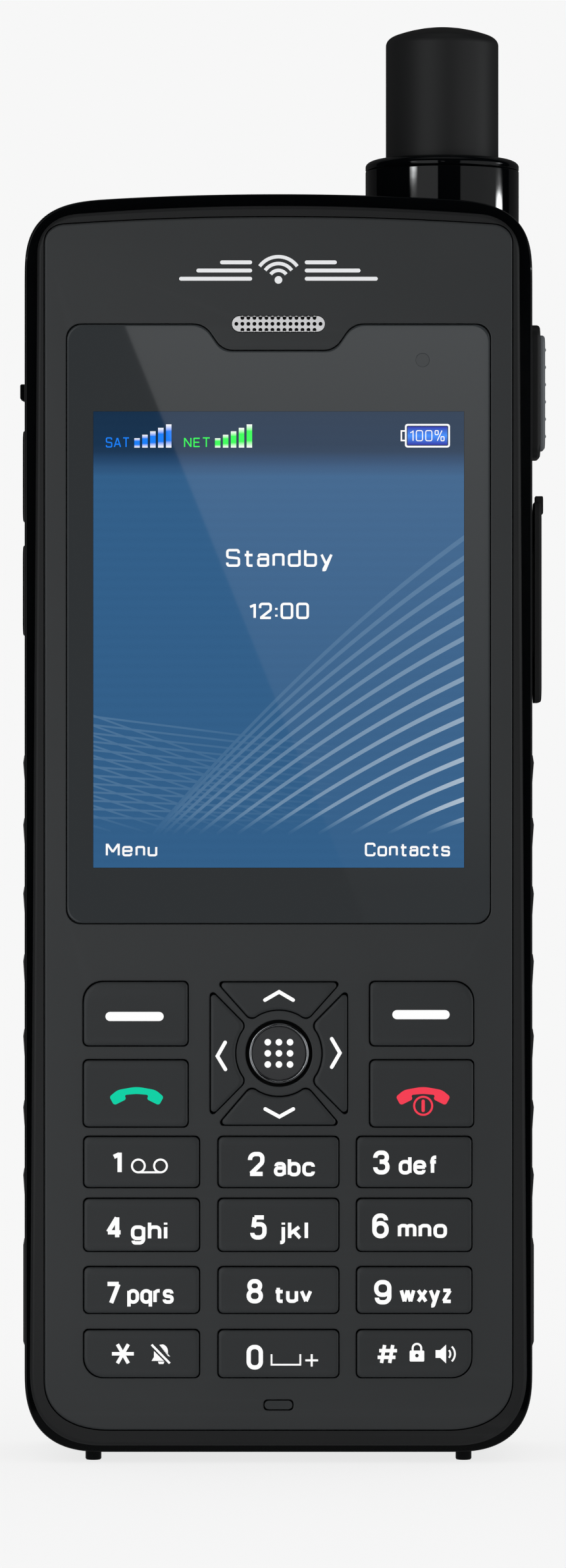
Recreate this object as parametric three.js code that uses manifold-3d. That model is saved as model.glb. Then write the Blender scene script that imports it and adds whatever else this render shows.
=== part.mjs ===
// A satellite phone handset: shells, keys, display, antenna, ports, battery and inner electronics.
// Millimetres. +Z runs up the handset, the face looks along -Y and +X is to the right of the face.
// The origin is the middle of the flat bottom face of the gloss band. Front-view outlines are drawn
// in X and Z and given their thickness along Y.

import * as THREE from 'three';
import { mergeVertices } from 'three/addons/utils/BufferGeometryUtils.js';
import Module from 'manifold-3d';

const wasm = await Module();
wasm.setup();

// ---------------------------------------------------------------- driving dimensions

const CORNER_STEPS = 7;      // facets along each big corner of a shell
const CROWN_STEPS = 3;       // facets along each half of a shell's crowned top
const ARC_STEPS = 3;         // facets along each small rounded corner
const ROUND = 32;            // facets around the antenna parts
const SMALL_ROUND = 14;      // facets around screws, pegs and the jack
const FAR = 200;             // longer than anything that is cut
const BOX_OUT = 1;           // how far cutting tools run past a face

// Shell outlines: half width, half width at the base, base and top heights, the crown's drop per
// square millimetre from the centre line, and corners as [width, height, superellipse power].
const BAND = {
  half: 28, baseHalf: 28, base: 0, top: 138.6, crown: 0.00155,
  topCorner: [9.9, 8.5, 3.2], baseCorner: [8.8, 8.8, 2.6],
};
const FRAME = {
  half: 26.5, baseHalf: 27.3, base: 0.65, top: 136.8, crown: 0.0018,
  topCorner: [4.6, 4.2, 2.3], baseCorner: [8.2, 8.2, 2.4],
};
const PANEL = {
  half: 25.7, baseHalf: 25.7, base: 2.4, top: 135.55, crown: 0.00145,
  topCorner: [2.2, 2.0, 2.2], baseCorner: [7.4, 5.6, 2.3],
};
const FACE_LIFT = 0.3;       // the face parts' heights are counted from this far above the base

// Depths along Y, front to back.
const KEY_FACE = -13.65;
const PANEL_FRONT = -13.3;
const PANEL_BACK = -12.5;
const FRAME_FRONT = -13.2;
const FRAME_FLOOR = -12.2;
const FRAME_BACK = -11.6;
const BAND_FRONT = -11.3;
const PLATE_FRONT = -4.9;
const PLATE_BACK = -4;
const BAND_BACK = 1.6;
const REAR_FRONT = 1.9;
const BACK_WALL = 11.3;
const REAR_BACK = 13.3;

const WALL = 2.2;            // thickness of the band's and the rear housing's walls
const GAP = 0.3;             // clearance between neighbouring pieces
const GROOVE = 0.12;         // half of the groove around each key and the lens

// Keypad, in face heights: outlines run along the middle of each key's groove.
const COLUMNS = [[-21.45, -8.6], [-6.7, 6.7], [8.5, 21.3]];
const ROWS = [[28.95, 34.7], [21.95, 27.9], [15.15, 20.4], [8.1, 13.5]];
const DIGIT_KEYS = [
  ['key_1', 'key_2', 'key_3'],
  ['key_4', 'key_5', 'key_6'],
  ['key_7', 'key_8', 'key_9'],
  ['key_star', 'key_0', 'key_hash'],
];
const OUTER_COLUMNS = [[-21.5, -9.85], [9.95, 21.5]];
const SOFT_ROW = [44.5, 51.7];
const CALL_ROW = [35.6, 43.1];
const KEY_CORNER = 0.5;
const NAV_CORNER = 0.4;
const KEY_BIG_CORNER = 2.2;
const KEY_BACK = -11.7;
const KEY_EDGE = 0.25;

const NAV_CENTRE = [0.05, 43.75];
const NAV_RING_WELL = 3.67;
const NAV_ARC = 4.75;        // radius of the four nav keys' inner edges
const NAV_SPREAD = 41.5;     // half angle of that inner edge, in degrees
// Each nav key's turn in degrees, reach from the centre, and half width along its outer edge.
const NAV_KEYS = {
  nav_up: [0, 7.9, 6.85], nav_left: [90, 7.6, 7.05], nav_down: [180, 7.95, 6.75], nav_right: [270, 7.6, 7.05],
};
const NAV_CAP = { radius: 2.95, drop: 0.1 };
const NAV_RING = { outer: 3.31, inner: 3.01 };

// Display lens outline in face heights: x, z and corner radius.
const LENS = [
  [-23.35, 57.9, 1.6], [23.35, 57.9, 1.6], [23.35, 123.85, 1.6], [8.7, 123.85, 1.2],
  [5.7, 120.95, 1.4], [-5.7, 120.95, 1.4], [-8.7, 123.85, 1.2], [-23.35, 123.85, 1.6],
];

// Side features stand on the band's flanks, centred on this depth. Their outlines are in Y and Z.
const SIDE_Y = -4.6;
const SIDE_HALF = 3.6;
const SOS_BEZEL = [109.6, 124.4];
const SOS_KEY = [110.6, 123.3];
const SOS_KEY_HALF = 2.7;
const SOS_NUBS = { first: 112.2, pitch: 1.92, count: 6, radius: 0.25, sunk: 0.2 };
const SOS_CORNER = { bezel: 1.4, key: 0.9 };
const SOS_GAP = 0.15;
const SOS_X = { floor: 27, back: 27.6, bezel: 29, key: 29.55, nub: 29.73 };
const VOLUME_KEYS = { volume_up_key: [102.6, 112.8], volume_down_key: [90, 100.1] };
const VOLUME_HALF = 2;
const VOLUME_GAP = 0.2;
const SIDE_CORNER = 1;
const VOLUME_X = [-28.36, -26.2];
const SIDE_NUB = { low: 115.4, high: 117.9, half: 1.6, root: -27, face: -28.65, taper: 0.9, back: 0.5 };
const PORT_BAY = [85, 102.8];
const FLAP = { low: 82.6, high: 104.8, inner: 28.35, outer: 29.12, corner: 1.2 };
const FLAP_PLUG = { low: 87, high: 100.6, depth: 26.9, half: 2.9, corner: 0.8, root: 0.2 };
const FLAP_TAB = { low: 103.5, high: 105.5, outer: 29.35, half: 2 };
const USB = { y: -4.4, z: 89.5, half: 3.8, tall: 1.35, back: 21.2, mouthHalf: 3.4, mouthTall: 0.9 };
const USB_TONGUE = { half: 2.4, below: 0.9, above: -0.2, inset: 1 };
const JACK = { y: -5.1, z: 97.6, radius: 2.3, bore: 1.75, back: 15.5, floor: 17 };
const PEG = { x: 20.45, y: -8.6, radius: 0.88, low: -1, high: 3.4, head: 1.5, headTall: 0.8, chamfer: 0.2 };

const ANTENNA = { x: 18.4, y: 4.2, mast: 6.33, bore: 6.48, collar: 8.62, stem: 6.95, flange: 6.75 };
const MAST_BASE = 84;
const MAST_SHOULDER = 157.5;
const MAST_TOP = 158.6;
const MAST_WALL = 1.2;
const MAST_ROUND = 1.2;       // radius of the mast's shoulder
const MAST_FLANGE_TALL = 2;
const MAST_ROOF = [3, 4];    // how far the bore stops below the top, on the axis and at the wall
const COLLAR_BASE = 124;
const COLLAR_STEP = 131;
const COLLAR_TOP = 142.35;
const CAP_TOP = 143.7;
const CAP = { gap: 0.2, round: 0.9, lip: 0.35 };
const PASSAGE_RISE = 10;     // how far the collar's clearance runs above it
const CORE = { gap: 0.4, rise: 1, fall: 5 };

const BAY = { half: 22, base: 12, top: 78, floor: 3.7, wall: 2, under: 1 };
const DOOR = { half: 23.3, base: 9.6, top: 82.4, corner: 3, front: 11.6 };
const LATCH = { z: 73, radius: 5, slotHalf: 3.6, slotTall: 0.7, slotDeep: 0.9 };
const SCREWS = [[-21, 130], [4.5, 130], [-19, 6], [19, 6]];

// Rear housing: as the band, standing a little outside it, with a saw-toothed grip on its flanks.
const REAR = {
  half: 28.2, baseHalf: 28.2, base: 0.1, top: 138.5, crown: 0.00155,
  topCorner: [9.9, 8.5, 3.2], baseCorner: [8.8, 8.8, 2.6],
};
const GRIP = {
  base: 9.8, proud: 0.5, front: 3.6, back: 9, ease: 1.2, root: 1, foot: 0.05, chamfer: 0.7,
  chamferOut: 0.4, tops: [22.6, 30.5, 38.1, 46.1, 54.5, 62.1, 69.8, 76.8],
};
const GASKET = { lip: 1, channel: 2.8, outer: 1.2, inner: 1.9, back: 2.5 };
const SCREW_HEAD = { radius: 2, front: 10.6, tall: 1.4, recess: 0.8 };
const SCREW_SHANK = { radius: 1, front: -1.5 };
const BOSS = { band: 2.6, rear: 3 };
const SCREW_HOLE = 1.3;
const SIM = { across: [-7.6, 7.6], up: [30.3, 43.7] };
const SPEAKER = { across: [-21, -7], deep: [6.5, 10.9], up: [99, 113], corner: 2 };
const SPEAKER_SLOTS = { count: 5, first: 101.4, pitch: 2.2, tall: 1, inset: 2 };
// Openings of the chassis plate: beside the ports, and under the antenna's collar.
const PLATE_OPENINGS = [[[12, 25.5], [82, 128]], [[9, 25.5], [127, 134]]];

// Inner parts, as spans in X, Y and Z.
const BOARD = { across: [-24.5, 24.5], deep: [-8.9, -7.9], up: [5.5, 133], corner: 3 };
const SHIELD = [[-19, 9], [-7.6, -5.2], [66, 118]];
const MOTOR = { radius: 2.2, across: [-20, -11], y: 0.2, z: 92 };
const BATTERY = { across: [-21.6, 21.6], deep: [4, 11.2], up: [12.5, 75.5], corner: 1.5 };
const CONTACTS = [[-6, 6], [4, 9], [75.9, 77.7]];
const SIM_DEEP = [2, 3.5];

// ---------------------------------------------------------------- outlines

// A quarter of a superellipse, from [0, 1] to [1, 0].
function superellipse(t, power) {
  const angle = t * Math.PI / 2;
  return [Math.sin(angle) ** (2 / power), Math.cos(angle) ** (2 / power)];
}

// A shell's front-view outline, counter-clockwise, shrunk inwards by inset.
function shellOutline(shell, inset = 0) {
  const half = shell.half - inset;
  const baseHalf = shell.baseHalf - inset;
  const [baseWide, baseHigh, basePower] = shell.baseCorner;
  const [topWide, topHigh, topPower] = shell.topCorner;
  const right = [];
  for (let i = 0; i <= CORNER_STEPS; i++) {
    const [across, up] = superellipse(i / CORNER_STEPS, basePower);
    const x = baseHalf - (baseWide - inset * 0.5) * (1 - across);
    const z = shell.base + inset + (baseHigh - inset * 0.5) * (1 - up);
    right.push([x, z]);
  }
  for (let i = CORNER_STEPS; i >= 0; i--) {
    const [across, up] = superellipse(i / CORNER_STEPS, topPower);
    const x = half - (topWide - inset * 0.5) * (1 - across);
    const z = shell.top - inset - shell.crown * x * x - (topHigh - inset * 0.5) * (1 - up);
    right.push([x, z]);
  }
  const shoulder = right.at(-1)[0];
  for (let i = CROWN_STEPS - 1; i > 0; i--) {
    const x = shoulder * i / CROWN_STEPS;
    right.push([x, shell.top - inset - shell.crown * x * x]);
  }
  const left = right.map(([x, z]) => [-x, z]).reverse();
  return [...right, [0, shell.top - inset], ...left];
}

// A polygon of [x, z, radius] corners, counter-clockwise, moved outwards by distance.
function grow(corners, distance) {
  return corners.map(([x, z, radius = 0], i) => {
    const before = corners.at(i - 1);
    const after = corners[(i + 1) % corners.length];
    const into = new THREE.Vector2(x - before[0], z - before[1]).normalize();
    const out = new THREE.Vector2(after[0] - x, after[1] - z).normalize();
    const scale = distance / (1 + into.dot(out));
    const turn = Math.sign(into.cross(out));
    const corner = radius > 0 ? Math.max(radius + turn * distance, 0.05) : 0;
    return [x + (into.y + out.y) * scale, z - (into.x + out.x) * scale, corner];
  });
}

// Points of a polygon whose [x, z, radius] corners are rounded by arcs.
function rounded(corners) {
  const points = [];
  corners.forEach(([x, z, radius = 0], i) => {
    if (radius === 0) {
      points.push([x, z]);
      return;
    }
    const corner = new THREE.Vector2(x, z);
    const back = new THREE.Vector2(...corners.at(i - 1)).sub(corner).normalize();
    const ahead = new THREE.Vector2(...corners[(i + 1) % corners.length]).sub(corner).normalize();
    const halfAngle = Math.acos(THREE.MathUtils.clamp(back.dot(ahead), -1, 1)) / 2;
    const middle = back.clone().add(ahead).normalize();
    const centre = corner.clone().addScaledVector(middle, radius / Math.sin(halfAngle));
    const reach = radius / Math.tan(halfAngle);
    const start = corner.clone().addScaledVector(back, reach).sub(centre);
    const end = corner.clone().addScaledVector(ahead, reach).sub(centre);
    const sweep = Math.atan2(start.cross(end), start.dot(end));
    for (let step = 0; step <= ARC_STEPS; step++) {
      const spoke = start.clone().rotateAround(new THREE.Vector2(), sweep * step / ARC_STEPS);
      points.push([centre.x + spoke.x, centre.y + spoke.y]);
    }
  });
  return points;
}

function box2([left, right], [low, high], radius = 0) {
  return [[left, low, radius], [right, low, radius], [right, high, radius], [left, high, radius]];
}

// ---------------------------------------------------------------- solids

function toSolid(geometry) {
  const bare = geometry.index ? geometry.toNonIndexed() : geometry.clone();
  bare.deleteAttribute('normal');
  bare.deleteAttribute('uv');
  const merged = mergeVertices(bare, 1e-4);
  const vertProperties = new Float32Array(merged.attributes.position.array);
  const triVerts = new Uint32Array(merged.index.array);
  return new wasm.Manifold(new wasm.Mesh({ numProp: 3, vertProperties, triVerts }));
}

function toGeometry(solid) {
  const mesh = solid.getMesh();
  const indexed = new THREE.BufferGeometry();
  indexed.setAttribute('position', new THREE.BufferAttribute(mesh.vertProperties, 3));
  indexed.setIndex(new THREE.BufferAttribute(mesh.triVerts, 1));
  const geometry = indexed.toNonIndexed();
  geometry.computeVertexNormals();
  return geometry;
}

// A block between two corners.
function block([x0, x1], [y0, y1], [z0, z1]) {
  const geometry = new THREE.BoxGeometry(x1 - x0, y1 - y0, z1 - z0);
  geometry.translate((x0 + x1) / 2, (y0 + y1) / 2, (z0 + z1) / 2);
  return toSolid(geometry);
}

// A front-view outline with thickness from front to back along Y. edge rounds one end:
// { inward, deep, steps, end } with end 'front' or 'back'.
function slab(points, front, back, edge = null, holes = []) {
  const shape = new THREE.Shape(points.map(([x, z]) => new THREE.Vector2(x, z)));
  shape.holes = holes.map((hole) => new THREE.Path(hole.map(([x, z]) => new THREE.Vector2(x, z))));
  if (!edge) {
    const plain = new THREE.ExtrudeGeometry(shape, { depth: back - front, bevelEnabled: false });
    plain.rotateX(Math.PI / 2);
    plain.translate(0, back, 0);
    return toSolid(plain);
  }
  const atFront = edge.end === 'front';
  const geometry = new THREE.ExtrudeGeometry(shape, {
    depth: back - front, bevelEnabled: true, bevelThickness: edge.deep, bevelSize: edge.inward,
    bevelOffset: -edge.inward, bevelSegments: edge.steps,
  });
  geometry.rotateX(Math.PI / 2);
  geometry.translate(0, back + (atFront ? edge.deep : -edge.deep), 0);
  const trimY = atFront ? [back, back + FAR] : [front - FAR, front];
  return toSolid(geometry).subtract(block([-FAR, FAR], trimY, [-FAR, FAR]));
}

// A block whose front-view corners are rounded.
function roundedBlock({ across, deep, up, corner }) {
  return slab(rounded(box2(across, up, corner)), ...deep);
}

// A turned piece about a vertical axis at (x, y), from [radius, z] points that start and end on
// the axis or close on themselves.
function turned(profile, x, y, facets = ROUND) {
  const geometry = new THREE.LatheGeometry(profile.map(([r, z]) => new THREE.Vector2(r, z)), facets);
  geometry.rotateX(Math.PI / 2);
  geometry.translate(x, y, 0);
  return toSolid(geometry);
}

function rod(radius, z0, z1, x, y, facets = ROUND) {
  const geometry = new THREE.CylinderGeometry(radius, radius, z1 - z0, facets);
  geometry.rotateX(Math.PI / 2);
  geometry.translate(x, y, (z0 + z1) / 2);
  return toSolid(geometry);
}

// A rod along Y, for screws, bosses and the latch.
function rodY(radius, y0, y1, x, z, facets = SMALL_ROUND) {
  const geometry = new THREE.CylinderGeometry(radius, radius, y1 - y0, facets);
  geometry.translate(x, (y0 + y1) / 2, z);
  return toSolid(geometry);
}

// A rod along X, for the jack and the vibration motor.
function rodX(radius, x0, x1, y, z, facets = SMALL_ROUND) {
  const geometry = new THREE.CylinderGeometry(radius, radius, x1 - x0, facets);
  geometry.rotateZ(Math.PI / 2);
  geometry.translate((x0 + x1) / 2, y, z);
  return toSolid(geometry);
}

// A side-view outline of [y, z, radius] corners with thickness between two X positions.
function sidePlate(corners, x0, x1) {
  const shape = new THREE.Shape(rounded(corners).map(([y, z]) => new THREE.Vector2(y, z)));
  const geometry = new THREE.ExtrudeGeometry(shape, { depth: x1 - x0, bevelEnabled: false });
  geometry.rotateX(Math.PI / 2);
  geometry.rotateZ(Math.PI / 2);
  geometry.translate(x0, 0, 0);
  return toSolid(geometry);
}

// ---------------------------------------------------------------- key outlines

function keyCorners(across, up, bigCorner = -1) {
  const corners = box2(across, up, KEY_CORNER);
  if (bigCorner >= 0) corners[bigCorner][2] = KEY_BIG_CORNER;
  return corners;
}

// One of the four keys around the centre: a trapezium with a hollow inner edge, turned by angle.
function navCorners(angle, reach, outerHalf) {
  const corners = [[outerHalf, reach, NAV_CORNER], [-outerHalf, reach, NAV_CORNER]];
  const steps = 6;
  for (let i = 0; i <= steps; i++) {
    const spoke = THREE.MathUtils.degToRad(NAV_SPREAD * (2 * i / steps - 1));
    corners.push([NAV_ARC * Math.sin(spoke), NAV_ARC * Math.cos(spoke), 0]);
  }
  const turn = THREE.MathUtils.degToRad(angle);
  return corners.map(([x, z, radius]) => [
    NAV_CENTRE[0] + x * Math.cos(turn) - z * Math.sin(turn),
    NAV_CENTRE[1] + x * Math.sin(turn) + z * Math.cos(turn),
    radius,
  ]);
}

function keyOutlines() {
  const keys = {};
  DIGIT_KEYS.forEach((names, row) => names.forEach((name, column) => {
    const bigCorner = { key_star: 0, key_hash: 1 }[name] ?? -1;
    keys[name] = keyCorners(COLUMNS[column], ROWS[row], bigCorner);
  }));
  keys.soft_key_left = keyCorners(OUTER_COLUMNS[0], SOFT_ROW, 3);
  keys.soft_key_right = keyCorners(OUTER_COLUMNS[1], SOFT_ROW, 2);
  keys.call_key = keyCorners(OUTER_COLUMNS[0], CALL_ROW);
  keys.end_key = keyCorners(OUTER_COLUMNS[1], CALL_ROW);
  for (const [name, shape] of Object.entries(NAV_KEYS)) keys[name] = navCorners(...shape);
  return keys;
}

function circle(radius, [x, z], facets = 24) {
  return Array.from({ length: facets }, (unused, i) => {
    const angle = 2 * Math.PI * i / facets;
    return [x + radius * Math.cos(angle), z + radius * Math.sin(angle)];
  });
}

// ---------------------------------------------------------------- face parts, in face heights

const GRILLE = box2([-5.1, 5.1], [122.95, 124.65], 0.84);
const MIC_SLOT = box2([-1.65, 1.65], [4.55, 5.75], 0.45);
const GRILLE_WINDOW = box2([-4.8, 4.8], [123.2, 124.4]);
const MIC_WINDOW = box2([-1, 1], [4.8, 5.5]);
const RECESS_GAP = 0.25;     // between the panel and the frame around it
const LENS_DROP = 0.05;
const LCD = { across: [-22, 22], deep: [-12.1, -9.3], up: [61, 117.5] };
const MAT = { across: [-21.7, 21.7], deep: [-11.3, -9.8], up: [7.6, 52.2] };
const DOMES = [[-21, 21], [-9.5, -9.2], [8, 52]];
const EARPIECE = { across: [-6.3, 6.3], deep: [-11.3, -9.3], up: [120.4, 127.2], corner: 1.5 };
const MICROPHONE = [[-2, 2], [-11.3, -9.6], [3.9, 6.4]];

function facePanel(keys) {
  const openings = Object.values(keys).map((corners) => rounded(grow(corners, GROOVE)));
  openings.push(rounded(grow(LENS, GROOVE)), rounded(grow(GRILLE, GROOVE)), rounded(MIC_SLOT));
  openings.push(circle(NAV_RING_WELL, NAV_CENTRE));
  return slab(shellOutline(PANEL), PANEL_FRONT, PANEL_BACK, null, openings);
}

function frontFrame() {
  const edge = { inward: 0.5, deep: 0.6, steps: 2, end: 'front' };
  const windows = [
    rounded(grow(box2(LCD.across, LCD.up), GAP)),
    rounded(grow(box2(MAT.across, MAT.up), GAP)),
    rounded(GRILLE_WINDOW),
    rounded(MIC_WINDOW),
  ];
  const recess = slab(shellOutline(PANEL, -RECESS_GAP), FRAME_FRONT - BOX_OUT, FRAME_FLOOR);
  let frame = slab(shellOutline(FRAME), FRAME_FRONT, FRAME_BACK, edge).subtract(recess);
  for (const window of windows) {
    frame = frame.subtract(slab(window, FRAME_FLOOR - BOX_OUT, FRAME_BACK + BOX_OUT));
  }
  return frame;
}

function keyCap(corners) {
  const edge = { inward: KEY_EDGE, deep: KEY_EDGE, steps: 1, end: 'front' };
  return slab(rounded(grow(corners, -GROOVE)), KEY_FACE, KEY_BACK, edge);
}

function navCentreCap() {
  const edge = { inward: 0.3, deep: 0.15, steps: 1, end: 'front' };
  return slab(circle(NAV_CAP.radius, NAV_CENTRE), KEY_FACE + NAV_CAP.drop, KEY_BACK, edge);
}

function navRing() {
  const hole = circle(NAV_RING.inner, NAV_CENTRE);
  return slab(circle(NAV_RING.outer, NAV_CENTRE), KEY_FACE, KEY_BACK, null, [hole]);
}

function displayLens() {
  return slab(rounded(grow(LENS, -GROOVE)), PANEL_FRONT + LENS_DROP, PANEL_BACK);
}

// ---------------------------------------------------------------- housings

// The antenna collar's clearance through the tops of the housings.
function antennaPassage() {
  const { x, y, collar } = ANTENNA;
  return rod(collar + GAP, COLLAR_STEP - GAP, COLLAR_TOP + PASSAGE_RISE, x, y);
}

function sideOutline([low, high], half, corner) {
  return box2([SIDE_Y - half, SIDE_Y + half], [low, high], corner);
}

// A small lug above the volume keys, square above and tapered below.
function sideNub() {
  const { low, high, half, root, face, taper, back } = SIDE_NUB;
  const shape = [[root, low], [root, high], [face, high], [face, low + taper], [face + back, low]];
  return slab(shape, SIDE_Y - half, SIDE_Y + half);
}

function sideBand() {
  const edge = { inward: 0.7, deep: 1.6, steps: 3, end: 'front' };
  const cavity = shellOutline(BAND, WALL);
  const platePast = [PLATE_FRONT - BOX_OUT, PLATE_BACK + BOX_OUT];
  let band = slab(shellOutline(BAND), BAND_FRONT, BAND_BACK, edge);
  band = band.subtract(slab(cavity, BAND_FRONT - BOX_OUT, PLATE_FRONT));
  band = band.subtract(slab(cavity, PLATE_BACK, BAND_BACK + BOX_OUT));
  for (const [across, up] of PLATE_OPENINGS) band = band.subtract(block(across, platePast, up));
  for (const [x, z] of SCREWS) {
    band = band.add(rodY(BOSS.band, PLATE_FRONT, BAND_BACK, x, z));
    band = band.subtract(rodY(SCREW_HOLE, PLATE_FRONT - BOX_OUT, BAND_BACK + BOX_OUT, x, z));
  }
  const bay = sideOutline(PORT_BAY, SIDE_HALF, SIDE_CORNER);
  band = band.subtract(sidePlate(bay, BAND.half - WALL - BOX_OUT, BAND.half + BOX_OUT));
  const pocket = sideOutline(SOS_BEZEL, SIDE_HALF, SOS_CORNER.bezel);
  band = band.subtract(sidePlate(grow(pocket, GAP), SOS_X.floor, BAND.half + BOX_OUT));
  for (const span of Object.values(VOLUME_KEYS)) {
    const slot = grow(sideOutline(span, VOLUME_HALF, SIDE_CORNER), VOLUME_GAP);
    band = band.subtract(sidePlate(slot, -BAND.half - BOX_OUT, WALL + BOX_OUT - BAND.half));
  }
  band = band.add(sideNub());
  for (const x of [-PEG.x, PEG.x]) {
    band = band.subtract(rod(PEG.radius + GAP, -BOX_OUT, WALL + BOX_OUT, x, PEG.y, SMALL_ROUND));
  }
  return band.subtract(antennaPassage());
}

// The saw-toothed grip along one flank: each tooth is steep above and tapers away below.
function gripStrip(side) {
  const { base, proud, ease, root, foot, chamfer, chamferOut } = GRIP;
  const inner = REAR.half - root;
  const points = [[inner, base], [REAR.half + foot, base], [REAR.half + proud, base + ease]];
  GRIP.tops.forEach((top, i) => {
    if (i > 0) points.push([REAR.half + foot, GRIP.tops[i - 1] + foot]);
    points.push([REAR.half + proud, top - chamfer], [REAR.half + chamferOut, top]);
  });
  points.push([inner, GRIP.tops.at(-1) + ease]);
  return slab(points.map(([x, z]) => [side * x, z]), GRIP.front, GRIP.back);
}

function rearHousing() {
  const edge = { inward: 4, deep: 4, steps: 5, end: 'back' };
  const innerEdge = { inward: 3, deep: 3, steps: 3, end: 'back' };
  const hollow = slab(shellOutline(REAR, WALL), REAR_FRONT - BOX_OUT - 3, BACK_WALL, innerEdge);
  let housing = slab(shellOutline(REAR), REAR_FRONT, REAR_BACK, edge).subtract(hollow);
  housing = housing.subtract(slab(shellOutline(REAR, GASKET.lip), REAR_FRONT - BOX_OUT, GASKET.channel));
  housing = housing.add(gripStrip(-1)).add(gripStrip(1));
  // Battery bay: a walled box behind the back wall, open to the back, with a SIM window.
  const { half, base, top, floor, wall, under } = BAY;
  const outside = half + wall;
  housing = housing.add(
    block([-outside, outside], [floor - under, BACK_WALL + BOX_OUT], [base - wall, top + wall]));
  housing = housing.subtract(block([-half, half], [floor, REAR_BACK + BOX_OUT], [base, top]));
  housing = housing.subtract(
    slab(rounded(grow(doorCorners(), GAP)), DOOR.front - GAP, REAR_BACK + BOX_OUT));
  housing = housing.subtract(block(grown(SIM.across), [floor - 2, floor + BOX_OUT], grown(SIM.up)));
  for (const [x, z] of SCREWS) {
    const counterbore = [SCREW_HEAD.front - GAP, REAR_BACK + BOX_OUT];
    housing = housing.add(rodY(BOSS.rear, REAR_FRONT, BACK_WALL + 0.5, x, z));
    housing = housing.subtract(rodY(SCREW_HOLE, REAR_FRONT - BOX_OUT, REAR_BACK, x, z));
    housing = housing.subtract(rodY(SCREW_HEAD.radius + GAP, ...counterbore, x, z));
  }
  const { count, first, pitch, tall, inset } = SPEAKER_SLOTS;
  const slotWidth = [SPEAKER.across[0] + inset, SPEAKER.across[1] - inset];
  const slotDeep = [BACK_WALL - BOX_OUT, REAR_BACK + BOX_OUT];
  for (let slot = 0; slot < count; slot++) {
    const low = first + slot * pitch;
    housing = housing.subtract(block(slotWidth, slotDeep, [low, low + tall]));
  }
  return housing.subtract(antennaPassage());
}

function grown([low, high]) {
  return [low - GAP, high + GAP];
}

function doorCorners() {
  return box2([-DOOR.half, DOOR.half], [DOOR.base, DOOR.top], DOOR.corner);
}

function batteryDoor() {
  const edge = { inward: 0.5, deep: 0.5, steps: 1, end: 'back' };
  const door = slab(rounded(doorCorners()), DOOR.front, REAR_BACK, edge);
  return door.subtract(rodY(LATCH.radius + GAP, DOOR.front - BOX_OUT, REAR_BACK + BOX_OUT, 0, LATCH.z, 24));
}

// A quarter-turn lock with a coin slot.
function doorLatch() {
  const { z, radius, slotHalf, slotTall, slotDeep } = LATCH;
  const depth = [REAR_BACK - slotDeep, REAR_BACK + BOX_OUT];
  const slot = block([-slotHalf, slotHalf], depth, [z - slotTall, z + slotTall]);
  return rodY(radius, DOOR.front, REAR_BACK, 0, z, 24).subtract(slot);
}

function housingGasket() {
  const { outer, inner, back } = GASKET;
  const ring = slab(shellOutline(BAND, outer), REAR_FRONT, back, null, [shellOutline(BAND, inner)]);
  return ring.subtract(antennaPassage());
}

function caseScrew([x, z]) {
  const { radius, front, tall } = SCREW_HEAD;
  const top = front + tall;
  const head = rodY(radius, front, top, x, z);
  const shank = rodY(SCREW_SHANK.radius, SCREW_SHANK.front, front + 0.1, x, z);
  const recess = rodY(1, top - SCREW_HEAD.recess, top + BOX_OUT, x, z, 6);
  return head.add(shank).subtract(recess);
}

// ---------------------------------------------------------------- flank pieces

function sosBezel() {
  const shape = sideOutline(SOS_BEZEL, SIDE_HALF, SOS_CORNER.bezel);
  const outer = sidePlate(shape, SOS_X.floor + GAP, SOS_X.bezel);
  const opening = grow(sideOutline(SOS_KEY, SOS_KEY_HALF, SOS_CORNER.key), SOS_GAP);
  return outer.subtract(sidePlate(opening, SOS_X.floor - BOX_OUT, SOS_X.bezel + BOX_OUT));
}

function sosKey() {
  const { first, pitch, count, radius, sunk } = SOS_NUBS;
  let key = sidePlate(sideOutline(SOS_KEY, SOS_KEY_HALF, SOS_CORNER.key), SOS_X.back, SOS_X.key);
  for (let i = 0; i < count; i++) {
    key = key.add(rodX(radius, SOS_X.key - sunk, SOS_X.nub, SIDE_Y, first + i * pitch, 6));
  }
  return key;
}

function volumeKey(span) {
  return sidePlate(sideOutline(span, VOLUME_HALF, SIDE_CORNER), ...VOLUME_X);
}

function portFlap() {
  const { low, high, inner, outer, corner } = FLAP;
  const cover = sidePlate(sideOutline([low, high], SIDE_HALF, corner), inner, outer);
  const plugShape = sideOutline([FLAP_PLUG.low, FLAP_PLUG.high], FLAP_PLUG.half, FLAP_PLUG.corner);
  const plug = sidePlate(plugShape, FLAP_PLUG.depth, inner + FLAP_PLUG.root);
  const tabDeep = [SIDE_Y - FLAP_TAB.half, SIDE_Y + FLAP_TAB.half];
  const tab = block([inner, FLAP_TAB.outer], tabDeep, [FLAP_TAB.low, FLAP_TAB.high]);
  return cover.add(plug).add(tab);
}

function usbSocket() {
  const { y, z, half, tall, back, mouthHalf, mouthTall } = USB;
  const { half: tongueHalf, below, above, inset } = USB_TONGUE;
  const end = FLAP_PLUG.depth - GAP;
  const can = block([back, end], [y - tall, y + tall], [z - half, z + half]);
  const mouth = block(
    [back + inset + 0.2, end + BOX_OUT], [y - mouthTall, y + mouthTall], [z - mouthHalf, z + mouthHalf]);
  const tongue = block(
    [back + inset, end - inset], [y - below, y + above], [z - tongueHalf, z + tongueHalf]);
  return can.subtract(mouth).add(tongue);
}

function headsetJack() {
  const end = FLAP_PLUG.depth - GAP;
  const body = rodX(JACK.radius, JACK.back, end, JACK.y, JACK.z);
  return body.subtract(rodX(JACK.bore, JACK.floor, end + BOX_OUT, JACK.y, JACK.z));
}

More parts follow.
